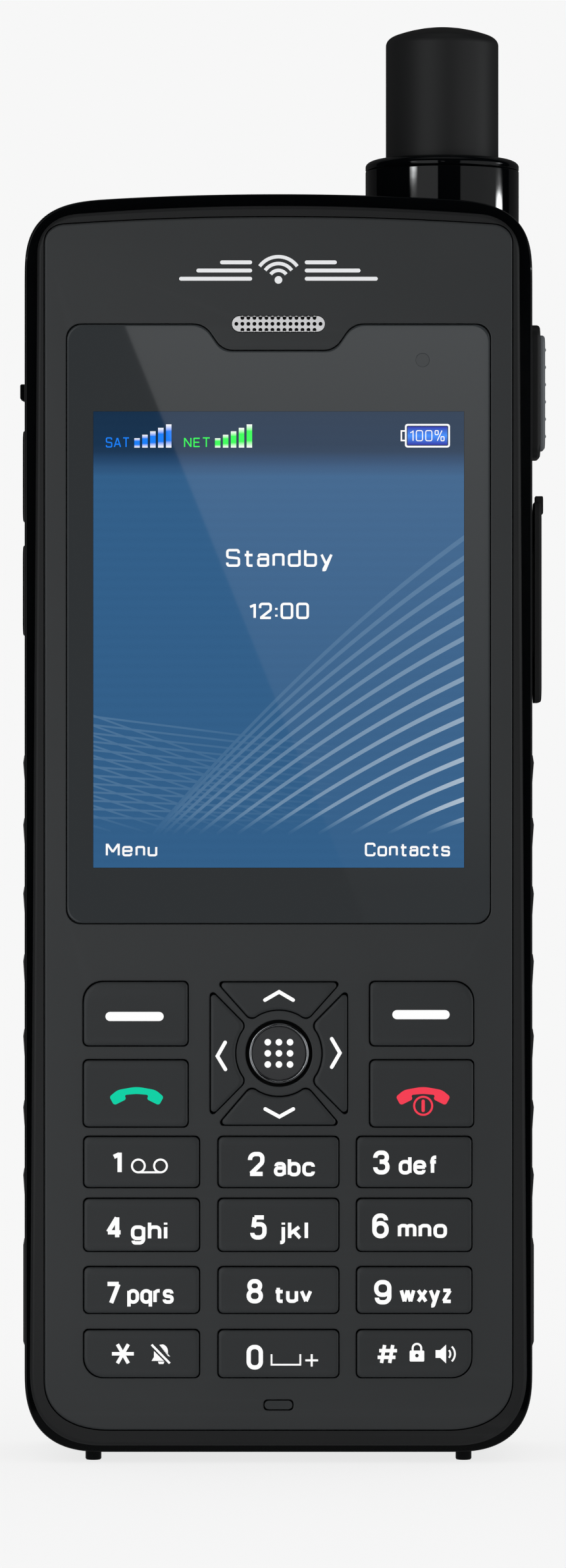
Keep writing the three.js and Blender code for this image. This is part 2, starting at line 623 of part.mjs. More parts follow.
function basePeg(x) {
  const { y, radius, low, high, head, headTall, chamfer } = PEG;
  const profile = [[0, low], [radius - chamfer, low], [radius, low + chamfer], [radius, high], [head, high],
    [head, high + headTall], [0, high + headTall]];
  return turned(profile, x, y, SMALL_ROUND);
}

// ---------------------------------------------------------------- antenna

function antennaCollar() {
  const { x, y, bore, collar, stem } = ANTENNA;
  const profile = [[bore, COLLAR_BASE], [stem, COLLAR_BASE], [stem, COLLAR_STEP], [collar, COLLAR_STEP],
    [collar, COLLAR_TOP], [bore, COLLAR_TOP], [bore, COLLAR_BASE]];
  return turned(profile, x, y);
}

function collarCap() {
  const { x, y, bore, collar } = ANTENNA;
  const low = COLLAR_TOP + CAP.gap;
  const crest = bore + CAP.lip;
  const edge = CAP_TOP - CAP.round;
  const profile = [[bore, low], [collar, low], [collar, edge]];
  const steps = 4;
  for (let i = 1; i <= steps; i++) {
    const angle = i / steps * Math.PI / 2;
    profile.push([crest + (collar - crest) * Math.cos(angle), edge + CAP.round * Math.sin(angle)]);
  }
  profile.push([bore, CAP_TOP], [bore, low]);
  return turned(profile, x, y);
}

// The sliding radome: a tube with a stop flange below and a softly domed end above.
function antennaMast() {
  const { x, y, mast, flange } = ANTENNA;
  const bore = mast - MAST_WALL;
  const rim = mast - MAST_ROUND;
  const stop = MAST_BASE + MAST_FLANGE_TALL;
  const profile = [[bore, MAST_BASE], [flange, MAST_BASE], [flange, stop], [mast, stop]];
  const steps = 3;
  for (let i = 0; i <= steps; i++) {
    const angle = i / steps * Math.PI / 2;
    profile.push([rim + MAST_ROUND * Math.cos(angle), MAST_SHOULDER - MAST_ROUND * (1 - Math.sin(angle))]);
  }
  for (const share of [0.75, 0.5, 0.25, 0]) {
    profile.push([rim * share, MAST_TOP - (MAST_TOP - MAST_SHOULDER) * share * share]);
  }
  profile.push([0, MAST_TOP - MAST_ROOF[0]], [bore, MAST_TOP - MAST_ROOF[1]], [bore, MAST_BASE]);
  return turned(profile, x, y);
}

function antennaCore() {
  const { x, y, mast } = ANTENNA;
  return rod(mast - MAST_WALL - CORE.gap, MAST_BASE + CORE.rise, MAST_TOP - CORE.fall, x, y, 20);
}

// ---------------------------------------------------------------- assembly

const FINISHES = {
  soft_touch: { color: 0x37393b, roughness: 0.62, metalness: 0 },
  satin: { color: 0x202224, roughness: 0.42, metalness: 0 },
  gloss: { color: 0x050505, roughness: 0.12, metalness: 0 },
  rugged: { color: 0x1a1b1d, roughness: 0.7, metalness: 0 },
  key: { color: 0x343638, roughness: 0.55, metalness: 0 },
  sos: { color: 0x5b5f62, roughness: 0.55, metalness: 0 },
  rubber: { color: 0x161718, roughness: 0.8, metalness: 0 },
  lens: { color: 0x15181b, roughness: 0.05, metalness: 0 },
  chrome: { color: 0xd8dadc, roughness: 0.12, metalness: 1 },
  steel: { color: 0xb4b6b8, roughness: 0.35, metalness: 1 },
  brass: { color: 0xc8a45a, roughness: 0.35, metalness: 1 },
  board: { color: 0x1d4a33, roughness: 0.55, metalness: 0 },
  display: { color: 0x3a678f, roughness: 0.4, metalness: 0 },
  battery: { color: 0x2b2e33, roughness: 0.5, metalness: 0 },
  moulding: { color: 0x26282a, roughness: 0.5, metalness: 0 },
};

const handset = new THREE.Group();
const face = new THREE.Group();
face.position.z = FACE_LIFT;
handset.add(face);

function place(parent, name, solid, finish) {
  const mesh = new THREE.Mesh(toGeometry(solid), new THREE.MeshStandardMaterial(FINISHES[finish]));
  mesh.name = name;
  parent.add(mesh);
}

function addFace() {
  const keys = keyOutlines();
  place(face, 'face_panel', facePanel(keys), 'soft_touch');
  place(face, 'front_frame', frontFrame(), 'satin');
  place(face, 'display_lens', displayLens(), 'lens');
  place(face, 'lcd_module', block(LCD.across, LCD.deep, LCD.up), 'display');
  place(face, 'earpiece_grille', slab(rounded(GRILLE), PANEL_FRONT, PANEL_BACK), 'steel');
  place(face, 'earpiece_speaker', roundedBlock(EARPIECE), 'moulding');
  place(face, 'microphone', block(...MICROPHONE), 'steel');
  for (const [name, corners] of Object.entries(keys)) place(face, name, keyCap(corners), 'key');
  place(face, 'nav_centre', navCentreCap(), 'key');
  place(face, 'nav_ring', navRing(), 'chrome');
  place(face, 'keypad_mat', block(MAT.across, MAT.deep, MAT.up), 'rubber');
  place(face, 'dome_sheet', block(...DOMES), 'steel');
}

function addHousings() {
  place(handset, 'side_band', sideBand(), 'gloss');
  place(handset, 'rear_housing', rearHousing(), 'rugged');
  place(handset, 'housing_gasket', housingGasket(), 'rubber');
  place(handset, 'battery_door', batteryDoor(), 'rugged');
  place(handset, 'battery_door_latch', doorLatch(), 'steel');
  SCREWS.forEach((spot, i) => place(handset, `case_screw_${i + 1}`, caseScrew(spot), 'steel'));
}

function addFlanks() {
  place(handset, 'sos_bezel', sosBezel(), 'satin');
  place(handset, 'sos_key', sosKey(), 'sos');
  for (const [name, span] of Object.entries(VOLUME_KEYS)) {
    place(handset, name, volumeKey(span), 'rubber');
  }
  place(handset, 'port_flap', portFlap(), 'rubber');
  place(handset, 'usb_socket', usbSocket(), 'steel');
  place(handset, 'headset_jack', headsetJack(), 'moulding');
  place(handset, 'base_peg_left', basePeg(-PEG.x), 'gloss');
  place(handset, 'base_peg_right', basePeg(PEG.x), 'gloss');
}

function addAntenna() {
  place(handset, 'antenna_collar', antennaCollar(), 'gloss');
  place(handset, 'collar_cap', collarCap(), 'gloss');
  place(handset, 'antenna_mast', antennaMast(), 'satin');
  place(handset, 'antenna_core', antennaCore(), 'brass');
}

function addInsides() {
  place(handset, 'main_board', roundedBlock(BOARD), 'board');
  place(handset, 'shield_can', block(...SHIELD), 'steel');
  place(handset, 'loudspeaker', roundedBlock(SPEAKER), 'moulding');
  place(handset, 'vibration_motor', rodX(MOTOR.radius, ...MOTOR.across, MOTOR.y, MOTOR.z), 'steel');
  place(handset, 'battery_pack', roundedBlock(BATTERY), 'battery');
  place(handset, 'battery_contacts', block(...CONTACTS), 'brass');
  place(handset, 'sim_socket', block(SIM.across, SIM_DEEP, SIM.up), 'steel');
}

addFace();
addHousings();
addFlanks();
addAntenna();
addInsides();

export default handset;
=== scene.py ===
"""The looks of a satellite phone handset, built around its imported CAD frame.

Shapes are worked out in millimetres and become metres when a mesh is made. +Z runs up the handset,
the face looks along -Y, and +X is to the right of the face.
"""

import math
from collections import namedtuple

import bmesh
import bpy
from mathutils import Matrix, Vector
from mathutils.geometry import tessellate_polygon


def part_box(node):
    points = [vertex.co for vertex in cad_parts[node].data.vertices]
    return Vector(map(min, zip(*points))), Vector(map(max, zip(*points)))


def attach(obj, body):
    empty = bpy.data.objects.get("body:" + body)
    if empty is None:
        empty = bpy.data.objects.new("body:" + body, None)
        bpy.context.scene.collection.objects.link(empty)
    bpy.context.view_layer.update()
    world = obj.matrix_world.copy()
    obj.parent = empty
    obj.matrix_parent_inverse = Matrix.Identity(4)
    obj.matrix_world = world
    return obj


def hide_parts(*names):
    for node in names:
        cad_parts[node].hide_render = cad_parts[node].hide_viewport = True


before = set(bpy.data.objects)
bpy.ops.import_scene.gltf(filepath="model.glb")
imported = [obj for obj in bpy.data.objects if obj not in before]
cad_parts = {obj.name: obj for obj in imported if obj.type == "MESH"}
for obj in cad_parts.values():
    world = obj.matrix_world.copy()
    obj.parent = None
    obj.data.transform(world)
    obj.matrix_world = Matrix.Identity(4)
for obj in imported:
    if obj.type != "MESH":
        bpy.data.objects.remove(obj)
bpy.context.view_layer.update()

# ---------------------------------------------------------------- driving dimensions, millimetres

MM = 0.001
CORNER_STEPS = 26            # segments along each big corner of a shell
CROWN_STEPS = 12             # segments along each half of a shell's crowned top
ARC_STEPS = 8                # segments along each small rounded corner
EDGE_STEPS = 5               # segments across a rounded edge
ROUND = 96                   # segments around the antenna parts
DISC_ROUND = 64              # around the door's lock and the well of the direction keys
SMALL_ROUND = 32             # around screws and pegs
BEYOND = 1                   # how far a cutting tool stands out of what it cuts

GROOVE = 0.11                # gap around each key and the lens
KEY_CORNER = 0.5
KEY_BIG_CORNER = 2.1
BIG_CORNERS = {"key_star": 0, "key_hash": 1, "soft_key_right": 2, "soft_key_left": 3}
KEY_EDGE = 0.34              # how far a key's rounded edge reaches in, and how deep it falls
KEY_FALL = 0.13
SEAT = 0.04                  # flat margin kept inside a rounded edge, so that the face shades flat
PRINT = 0.014                # thickness of printed legends
WALL = 2.2
BAY_HEADROOM = 2.5           # above the battery pack, for its contacts
PANEL_EDGE = 0.22            # rounding of the face panel's rim, and of the lips of its openings
PANEL_LIP = 0.07
PANEL_GAP = 0.1              # joint between the panel and the frame
FRAME_EDGE = (0.42, 0.5)     # reach and depth of the rounded edges of the frame and of the band
BAND_EDGE = (0.22, 1.2)
GRIP_PROUD = 0.5             # how far the grips stand out, where each tooth tops out, and their foot
GRIP_TOPS = (22.6, 30.5, 38.1, 46.1, 54.5, 62.1, 69.8, 76.8)
GRIP_FOOT = 9.8

NAV_ARC = 4.75               # radius of the four nav keys' hollow inner edges
NAV_SPREAD = 40.5            # half angle of that edge, in degrees
NAV_ARC_MARGIN = 13          # degrees at either end of it that its rounded corners take up
NAV_INNER_CORNER = 0.75
NAV_OUTER_CORNER = 0.3
NAV_OUTER_HALF = {"nav_up": 6.85, "nav_left": 7.05, "nav_down": 6.75, "nav_right": 7.05}
NAV_TURN = {"nav_up": 0, "nav_left": 90, "nav_down": 180, "nav_right": 270}
NAV_WELL = 3.67              # radius of the opening for the centre key
RING_WIDTH = 0.33            # the chrome ring's width, and the height of its crest
RING_CREST = 0.16
SOFT_KEYS = ("soft_key_left", "soft_key_right")
DIGIT_KEYS = ("key_1", "key_2", "key_3", "key_4", "key_5", "key_6", "key_7", "key_8", "key_9",
              "key_star", "key_0", "key_hash")
PLAIN_KEYS = DIGIT_KEYS + SOFT_KEYS + ("call_key", "end_key")
VOLUME_KEYS = ("volume_up_key", "volume_down_key")
FLANK_NODES = {"sos_bezel": ("right", 1.4), "sos_key": ("right", 0.9),
               "volume_up_key": ("left", 1.0), "volume_down_key": ("left", 1.0)}   # side and corner
PEGS = ("base_peg_left", "base_peg_right")

LENS_CORNER = 1.6            # the display cover's corners, and the notch in its head
NOTCH_CORNER = 2.3
NOTCH_DEPTH = 2.9
NOTCH_MOUTH = 8.15
NOTCH_FLOOR = 6.15
MIC_HALF = (1.65, 0.6)       # half size and corner of the microphone's opening
MIC_CORNER = 0.45
HOLE_PITCH = 0.66            # earpiece holes: pitch, radius, columns on either side, mesh thickness
HOLE_RADIUS = 0.22
HOLE_COLUMNS = 7
MESH_THICK = 0.2
SENSOR_PLACE = (7.4, 3.9)    # the light sensor, in from the display cover's right and head
SENSOR_RADIUS = 0.78

SCREEN_MARGINS = (1.65, 1.6, 3.1, 3.3)   # unlit border of the display: left, right, foot and head
SCREEN_SUNK = 0.03           # how far the lit picture lies below the cover's face
SCREEN_LAYER = 0.004         # step between the picture's layers
SCREEN_BACKGROUND = ((0.0, "#1a334e"), (3.7, "#1b3551"), (4.4, "#1f3956"), (5.2, "#26466a"),
                     (6.2, "#30567e"), (7.2, "#34618c"))     # distance from the head, and colour
LINES_FOOT = 3.7             # height at which the background's lines start, and run to full strength
LINES_FADE = 2.6
FAN_LINES = 15
FAN_STEPS = 24
FAN_FEET = (6.5, 30.2, 2.1)  # the first foot, how far the feet spread, and the power of their spacing
FAN_HEADS = (13.9, 2.206)    # the first head below the screen's top, and the pitch of the heads
FAN_BEND = (0.52, 0.636)     # where each line bends, as shares of its width and height
# Count, distance of the first below the screen's top, pitch, slope, change of slope, and length.
FINE_LINES = ((13, 33.5, 0.925, 0.126, 0.009, 27), (13, 33.4, 1.1, 0.36, 0.005, 23))
FINE_WIDTH = 0.22
FINE_STEPS = 12
FINE_STRENGTH = 0.125

DIGIT_PEN = 0.47
LETTER_PEN = 0.38
LETTER_GAP = 2.0             # between letters, on the glyphs' grid
SPACE = 0.8                  # a character without strokes, on that grid
EMBLEM_Z = 130.0

COLLAR_HEIGHT = 11.55        # of the collar's full width, up to its top
COLLAR_WALL = 2.14
SEAM = 0.06                  # between the collar and its cap ring
PASSAGE_GAP = 0.25           # clearance around the collar where it passes through the housings
DOME_FALL = 0.034            # the mast's dome falls by this much per square millimetre of radius
LOOSE = 0.25                 # gap around the battery door and its lock
PEG_RADIUS = 0.88
PEG_HEAD = 1.45
PEG_TIP = 0.2
PEG_GAP = 0.24

LENS = 150                   # the camera's focal length, over a sensor 36 wide
PALE_HEX = "#f7f7f7"
CARD_TINT = (0.97, 0.99, 1.0, 1.0)
SHEEN_FOOT = 9.6             # where the sheen's edge meets the display cover's foot and head
SHEEN_HEAD = -16.9
SHEEN_GLOW = 1.05
SHEEN_FAINT = 0.06

Span = namedtuple("Span", "x0 x1 y0 y1 z0 z1")


def span(node):
    """A CAD node's box at rest, in millimetres."""
    low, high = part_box(node)
    return Span(low.x / MM, high.x / MM, low.y / MM, high.y / MM, low.z / MM, high.z / MM)


def centre(node):
    """The middle of a CAD node's box on the face, as x and z in millimetres."""
    box = span(node)
    return (box.x0 + box.x1) / 2, (box.z0 + box.z1) / 2


def upright(node):
    """The middle of a CAD node's box seen from above, as x and y in millimetres."""
    box = span(node)
    return (box.x0 + box.x1) / 2, (box.y0 + box.y1) / 2


EYE = (0.5, span("face_panel").y0 - 717, 73.6)
CARD_Y = EYE[1] - 30
FLOOR_Z = span("base_peg_left").z0
SCREEN_FRONT = span("display_lens").y0 + SCREEN_SUNK


# ---------------------------------------------------------------- outlines

def superellipse(share, power):
    """A point on a quarter superellipse, from (0, 1) at share 0 to (1, 0) at share 1."""
    angle = share * math.pi / 2
    return math.sin(angle) ** (2 / power), max(math.cos(angle), 0.0) ** (2 / power)


def shell_outline(node, crown, top_corner, base_corner, stands_out=0.0, taper=0.0):
    """The front-view outline of a shell that fills its node's box, as a function of its inset.

    Corners are (width, height, power). The box is wider than the shell by stands_out on each side,
    and the shell's flanks lean in by taper between its base corners and its top ones.
    """
    box = span(node)

    def outline(inset=0.0):
        base_half = box.x1 - stands_out - inset
        half = base_half - taper
        right = []
        for i in range(CORNER_STEPS + 1):
            across, up = superellipse(i / CORNER_STEPS, base_corner[2])
            u = base_half - (base_corner[0] - inset * 0.5) * (1 - across)
            right.append((u, box.z0 + inset + (base_corner[1] - inset * 0.5) * (1 - up)))
        for i in range(CORNER_STEPS, -1, -1):
            across, up = superellipse(i / CORNER_STEPS, top_corner[2])
            u = half - (top_corner[0] - inset * 0.5) * (1 - across)
            drop = crown * u * u + (top_corner[1] - inset * 0.5) * (1 - up)
            right.append((u, box.z1 - inset - drop))
        shoulder = right[-1][0]
        for i in range(CROWN_STEPS - 1, 0, -1):
            u = shoulder * i / CROWN_STEPS
            right.append((u, box.z1 - inset - crown * u * u))
        left = [(-u, v) for u, v in reversed(right)]
        return right + [(0.0, box.z1 - inset)] + left

    return outline


BODY_CORNERS = (9.9, 8.5, 3.2), (8.8, 8.8, 2.6)
BAND = shell_outline("side_band", 0.00155, *BODY_CORNERS)
REAR = shell_outline("rear_housing", 0.00155, *BODY_CORNERS, stands_out=GRIP_PROUD)
FRAME = shell_outline("front_frame", 0.0018, (4.6, 4.2, 2.3), (8.2, 8.2, 2.4), taper=0.8)
PANEL = shell_outline("face_panel", 0.00145, (2.2, 2.0, 2.2), (7.4, 5.6, 2.3))


def grow(corners, distance):
    """A counter-clockwise polygon of (u, v, radius) corners, moved outwards by distance."""
    grown = []
    for i, (u, v, radius) in enumerate(corners):
        before, after = corners[i - 1], corners[(i + 1) % len(corners)]
        into = Vector((u - before[0], v - before[1])).normalized()
        out = Vector((after[0] - u, after[1] - v)).normalized()
        reach = distance / (1 + into.dot(out))
        turn = into.x * out.y - into.y * out.x
        if radius > 0:
            radius = max(radius + math.copysign(distance, turn), 0.03)
        grown.append((u + (into.y + out.y) * reach, v - (into.x + out.x) * reach, radius))
    return grown


def room(neighbour, corner):
    """How far a corner's rounding may reach towards its neighbour."""
    share = 0.49 if neighbour[2] else 0.97
    return (Vector(neighbour[:2]) - corner).length * share


def rounded(corners):
    """The points of a polygon whose (u, v, radius) corners are rounded by arcs."""
    points = []
    for i, (u, v, radius) in enumerate(corners):
        if radius == 0:
            points.append((u, v))
            continue
        corner = Vector((u, v))
        before, after = corners[i - 1], corners[(i + 1) % len(corners)]
        back = (Vector(before[:2]) - corner).normalized()
        ahead = (Vector(after[:2]) - corner).normalized()
        half_angle = math.acos(max(-1.0, min(1.0, back.dot(ahead)))) / 2
        reach = min(radius / math.tan(half_angle), room(before, corner), room(after, corner))
        middle = corner + (back + ahead).normalized() * (reach / math.cos(half_angle))
        start = corner + back * reach - middle
        end = corner + ahead * reach - middle
        sweep = math.atan2(start.x * end.y - start.y * end.x, start.dot(end))
        for step in range(ARC_STEPS + 1):
            cos, sin = math.cos(sweep * step / ARC_STEPS), math.sin(sweep * step / ARC_STEPS)
            points.append((middle.x + start.x * cos - start.y * sin,
                           middle.y + start.x * sin + start.y * cos))
    return points


def box_corners(left, right, low, high, radius=0.0):
    return [(left, low, radius), (right, low, radius), (right, high, radius), (left, high, radius)]


def of_corners(corners):
    """The outline of a cornered polygon, as a function of its inset."""
    return lambda inset=0.0: rounded(grow(corners, -inset))


def mirrored(points):
    """An outline seen from behind. It stays counter-clockwise."""
    return [(-point[0], *point[1:]) for point in points][::-1]


def circle(radius, middle, segments=SMALL_ROUND):
    return [(middle[0] + radius * math.cos(2 * math.pi * i / segments),
             middle[1] + radius * math.sin(2 * math.pi * i / segments)) for i in range(segments)]


def of_circle(radius, middle, segments=SMALL_ROUND):
    return lambda inset=0.0: circle(radius - inset, middle, segments)


def arc(middle, radius, start, end, steps=12):
    """Points of an arc between two angles in degrees."""
    angles = [math.radians(start + (end - start) * i / steps) for i in range(steps + 1)]
    return [(middle[0] + radius * math.cos(a), middle[1] + radius * math.sin(a)) for a in angles]


def bezier(start, bend, end, t):
    return tuple(a * (1 - t) ** 2 + 2 * b * t * (1 - t) + c * t * t for a, b, c in zip(start, bend, end))


def half_turn(middle, start, steps=8):
    """Points of a half circle about middle, going counter-clockwise from start, ends left out."""
    spoke = start - middle
    points = []
    for i in range(1, steps):
        cos, sin = math.cos(math.pi * i / steps), math.sin(math.pi * i / steps)
        points.append(middle + Vector((spoke.x * cos - spoke.y * sin, spoke.x * sin + spoke.y * cos)))
    return points


def stroke(points, width, round_ends=True):
    """The outline of a pen stroke of that width along an open line of points."""
    half = width / 2
    track = [Vector(points[0])]
    track += [here for before, here in zip(map(Vector, points), map(Vector, points[1:]))
              if (here - before).length > 0.01]
    left, right = [], []
    for i, here in enumerate(track):
        into = (here - track[i - 1]).normalized() if i else (track[1] - here).normalized()
        out = (track[i + 1] - here).normalized() if i < len(track) - 1 else into
        side = Vector((into.y + out.y, -into.x - out.x)) / max(1 + into.dot(out), 0.5) * half
        right.append(here + side)
        left.append(here - side)
    end, start = (half_turn(track[-1], right[-1]), half_turn(track[0], left[0])) if round_ends else ([], [])
    return [tuple(p) for p in right + end + left[::-1] + start]


# ---------------------------------------------------------------- meshes

# A shape is drawn in u and v as seen from one side, and depth runs away from the eye along the
# axis named here: on the right flank, for example, depth is minus X.
SIDES = {
    "front": lambda u, v, depth: (u, depth, v),
    "back": lambda u, v, depth: (-u, -depth, v),
    "right": lambda u, v, depth: (-depth, u, v),
    "left": lambda u, v, depth: (depth, -u, v),
    "below": lambda u, v, depth: (u, -v, depth),
}


class Solid:
    """Points and faces of one or more closed shells."""

    def __init__(self, side="front"):
        self.place = SIDES[side]
        self.points = []
        self.faces = []

    def wall(self, near, far):
        for i, corner in enumerate(near):
            j = (i + 1) % len(near)
            self.faces.append((corner, far[i], far[j], near[j]))

    def loft(self, outline, stations, hollow=False):
        """Rings of an outline at (inset, depth) stations, joined by walls. Gives back the rings."""
        rings = []
        for inset, depth in stations:
            points = outline(inset)
            first = len(self.points)
            self.points += [self.place(u, v, depth) for u, v in (points[::-1] if hollow else points)]
            rings.append(list(range(first, len(self.points))))
        for here, beyond in zip(rings, rings[1:]):
            self.wall(here, beyond)
        return rings

    def cap(self, rings):
        loops = [[Vector(self.points[i]) for i in ring] for ring in rings]
        names = [i for ring in rings for i in ring]
        self.faces += [tuple(names[i] for i in face) for face in tessellate_polygon(loops)]

    def slab(self, outline, stations, holes=(), hole_stations=()):
        """A closed slab. Stations are (inset, depth) from the near cap's edge to the far cap's, and
        each hole has stations of its own, between the same two caps."""
        tracks = [self.loft(outline, stations)]
        tracks += [self.loft(hole, hole_stations, hollow=True) for hole in holes]
        self.cap([rings[0] for rings in tracks])
        self.cap([rings[-1] for rings in tracks])
        return self

    def plate(self, outline, front, back):
        """A thin flat shape given by its outline's points."""
        return self.slab(lambda inset: outline, [(0, front), (0, back)])

    def lathe(self, profile, middle, segments=ROUND):
        """A body turned about a vertical axis through middle. The (radius, height) profile starts and
        ends on the axis, or else closes on itself."""
        rings = []
        for radius, height in profile:
            first = len(self.points)
            if radius == 0:
                self.points.append((*middle, height))
                rings.append([first] * segments)
                continue
            self.points += [(x, y, height) for x, y in circle(radius, middle, segments)]
            rings.append(list(range(first, first + segments)))
        following = rings[1:] if profile[0][0] == 0 else rings[1:] + rings[:1]
        for here, beyond in zip(rings, following):
            for i in range(segments):
                j = (i + 1) % segments
                self.faces.append(tuple(dict.fromkeys((here[i], here[j], beyond[j], beyond[i]))))
        return self

    def mesh(self, name):
        """The mesh in metres, with every face turned outwards."""
        mesh = bpy.data.meshes.new(name)
        mesh.from_pydata([tuple(c * MM for c in p) for p in self.points], [], self.faces)
        mesh.validate()
        work = bmesh.new()
        work.from_mesh(mesh)
        bmesh.ops.recalc_face_normals(work, faces=work.faces)
        work.to_mesh(mesh)
        work.free()
        return mesh


def box_plate(x0, x1, z0, z1, corner, front, back, side="front"):
    """A rectangular plate with rounded corners, or sharp ones where corner is 0."""
    return Solid(side).plate(rounded(box_corners(x0, x1, z0, z1, corner)), front, back)


def disc(radius, middle, front, back, segments=SMALL_ROUND, side="front"):
    return Solid(side).plate(circle(radius, middle, segments), front, back)


def quarter(steps):
    """Angles from nothing to a quarter turn."""
    return [math.pi / 2 * i / steps for i in range(steps + 1)]


def soft_edge(depth, inward, deep, away=1, steps=EDGE_STEPS):
    """Stations over a rounded edge, from the flat face at depth out to the full outline, with a
    narrow flat margin at either end."""
    curve = [(inward * (1 - math.sin(a)), depth + away * deep * (1 - math.cos(a))) for a in quarter(steps)]
    return [(inward + SEAT, depth)] + curve + [(0, depth + away * (deep + SEAT))]


def lip(depth, size):
    """Stations over the rounded lip of an opening."""
    return [(-inset, place) for inset, place in soft_edge(depth, size, size, steps=3)]


def soft_slab(front, back, near_edge, far_edge=0.0):
    """Stations of a slab with a rounded near edge and, where far_edge isn't 0, a far one too."""
    far = soft_edge(back, far_edge, far_edge, away=-1)[::-1] if far_edge else [(0, back)]
    return soft_edge(front, near_edge, near_edge) + far


def seated(profile):
    """A turned profile with a point near each end of its long straight runs, so that they shade flat."""
    points = [profile[0]]
    for (r0, h0), (r1, h1) in zip(profile, profile[1:]):
        run = math.hypot(r1 - r0, h1 - h0)
        if run > 5 * SEAT:
            share = SEAT / run
            points += [(r0 + (r1 - r0) * s, h0 + (h1 - h0) * s) for s in (share, 1 - share)]
        points.append((r1, h1))
    return points


def linked(name, data):
    """A new object in the scene."""
    made = bpy.data.objects.new(name, data)
    bpy.context.scene.collection.objects.link(made)
    return made


def piece(name, solid, material, body, replaces=(), sharp=38):
    """Adds a solid or a finished mesh to the scene as a piece of the object. It shades smoothly,
    with creases over the sharp angle."""
    made = linked(name, solid.mesh(name) if isinstance(solid, Solid) else solid)
    made.data.materials.clear()
    made.data.materials.append(material)
    made.data.shade_smooth()
    made.data.set_sharp_from_angle(angle=math.radians(sharp))
    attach(made, body)
    if replaces:
        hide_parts(*replaces)
    return made


def carved(solid, cuts=(), joins=()):
    """The mesh of a solid after other solids are joined to it and then cut away."""
    base = linked("carving", solid.mesh("carving"))
    tools = []
    for operation, others in (("UNION", joins), ("DIFFERENCE", cuts)):
        for other in others:
            tool = linked("tool", other.mesh("tool"))
            tools.append(tool)
            modifier = base.modifiers.new("carve", "BOOLEAN")
            modifier.operation = operation
            modifier.solver = "EXACT"
            modifier.object = tool
    graph = bpy.context.evaluated_depsgraph_get()
    mesh = bpy.data.meshes.new_from_object(base.evaluated_get(graph))
    for spare in [base, *tools]:
        bpy.data.objects.remove(spare)
    return mesh


# ---------------------------------------------------------------- materials

def linear(colour):
    """A display colour, as '#rrggbb', in linear light with full alpha."""
    parts = [int(colour[i:i + 2], 16) / 255 for i in (1, 3, 5)]
    light = [c / 12.92 if c <= 0.04045 else ((c + 0.055) / 1.055) ** 2.4 for c in parts]
    return (*light, 1.0)


def shaded(colour, share):
    """A linear colour with that share of its light."""
    return (*(c * share for c in colour[:3]), 1.0)


def between(first, second, share):
    """A colour part of the way between two, without alpha."""
    return tuple(a + (b - a) * share for a, b in zip(linear(first)[:3], linear(second)[:3]))


class Nodes:
    """A small helper for wiring one material's nodes."""

    def __init__(self, name):
        self.material = bpy.data.materials.new(name)
        self.material.use_nodes = True
        self.tree = self.material.node_tree
        self.shader = self.tree.nodes["Principled BSDF"]
        self.place = self.tree.nodes.new("ShaderNodeTexCoord").outputs["Object"]

    def feed(self, socket, value):
        """Links a socket to another one, or sets its value."""
        if isinstance(value, bpy.types.NodeSocket):
            self.tree.links.new(value, socket)
        else:
            socket.default_value = value

    def add(self, kind, inputs=(), **settings):
        node = self.tree.nodes.new(kind)
        for key, value in settings.items():
            setattr(node, key, value)
        for key, value in dict(inputs).items():
            self.feed(node.inputs[key], value)
        return node

    def noise(self, size, detail=2.0, rough=0.5):
        """Noise whose features are about size millimetres across."""
        node = self.add("ShaderNodeTexNoise", {
            "Vector": self.place, "Scale": 1 / (size * MM), "Detail": detail, "Roughness": rough})
        return node.outputs["Fac"]

    def ramp(self, value, low, high, start=0.0, end=1.0):
        """A value moved from the range start to end onto the range low to high."""
        return self.add("ShaderNodeMapRange", {
            "Value": value, "From Min": start, "From Max": end, "To Min": low, "To Max": high,
        }).outputs["Result"]

    def math(self, operation, *values):
        node = self.add("ShaderNodeMath", dict(enumerate(values)), operation=operation)
        return node.outputs[0]

    def mix(self, share, first, second):
        node = self.add("ShaderNodeMix", data_type="RGBA")
        for place, value in ((0, share), (6, first), (7, second)):
            self.feed(node.inputs[place], value)
        return node.outputs[2]

    def bump(self, height, depth):
        """Surface relief depth millimetres deep."""
        return self.add("ShaderNodeBump", {"Height": height, "Distance": depth * MM}).outputs["Normal"]

    def drive(self, socket, value):
        self.feed(self.shader.inputs[socket], value)

    def set(self, **values):
        for key, value in values.items():
            self.drive(key.replace("_", " "), value)


def moulded(name, colour, rough, grain=0.12, relief=0.004, mottle=0.06, wear=0.25, metallic=0.0,
            specular=0.5):
    """A moulded or cast finish: fine grain, slow changes of tone and gloss, and rubbed edges."""
    nodes = Nodes(name)
    nodes.set(Metallic=metallic, Specular_IOR_Level=specular)
    base = linear(colour)
    rubbed = (*(min(c * 1.6 + 0.004, 1.0) for c in base[:3]), 1.0)
    tone = nodes.mix(nodes.noise(9, 3), shaded(base, 1 - mottle), shaded(base, 1 + mottle))
    edges = nodes.add("ShaderNodeNewGeometry").outputs["Pointiness"]
    nodes.drive("Base Color", nodes.mix(nodes.ramp(edges, 0.0, wear, 0.515, 0.60), tone, rubbed))
    fine = nodes.noise(grain, 2, 0.6)
    broad = nodes.ramp(nodes.noise(14, 2), -0.04, 0.04)
    nodes.drive("Roughness", nodes.math("ADD", nodes.ramp(fine, rough * 0.92, rough * 1.08), broad))
    nodes.drive("Normal", nodes.bump(fine, relief))
    return nodes.material


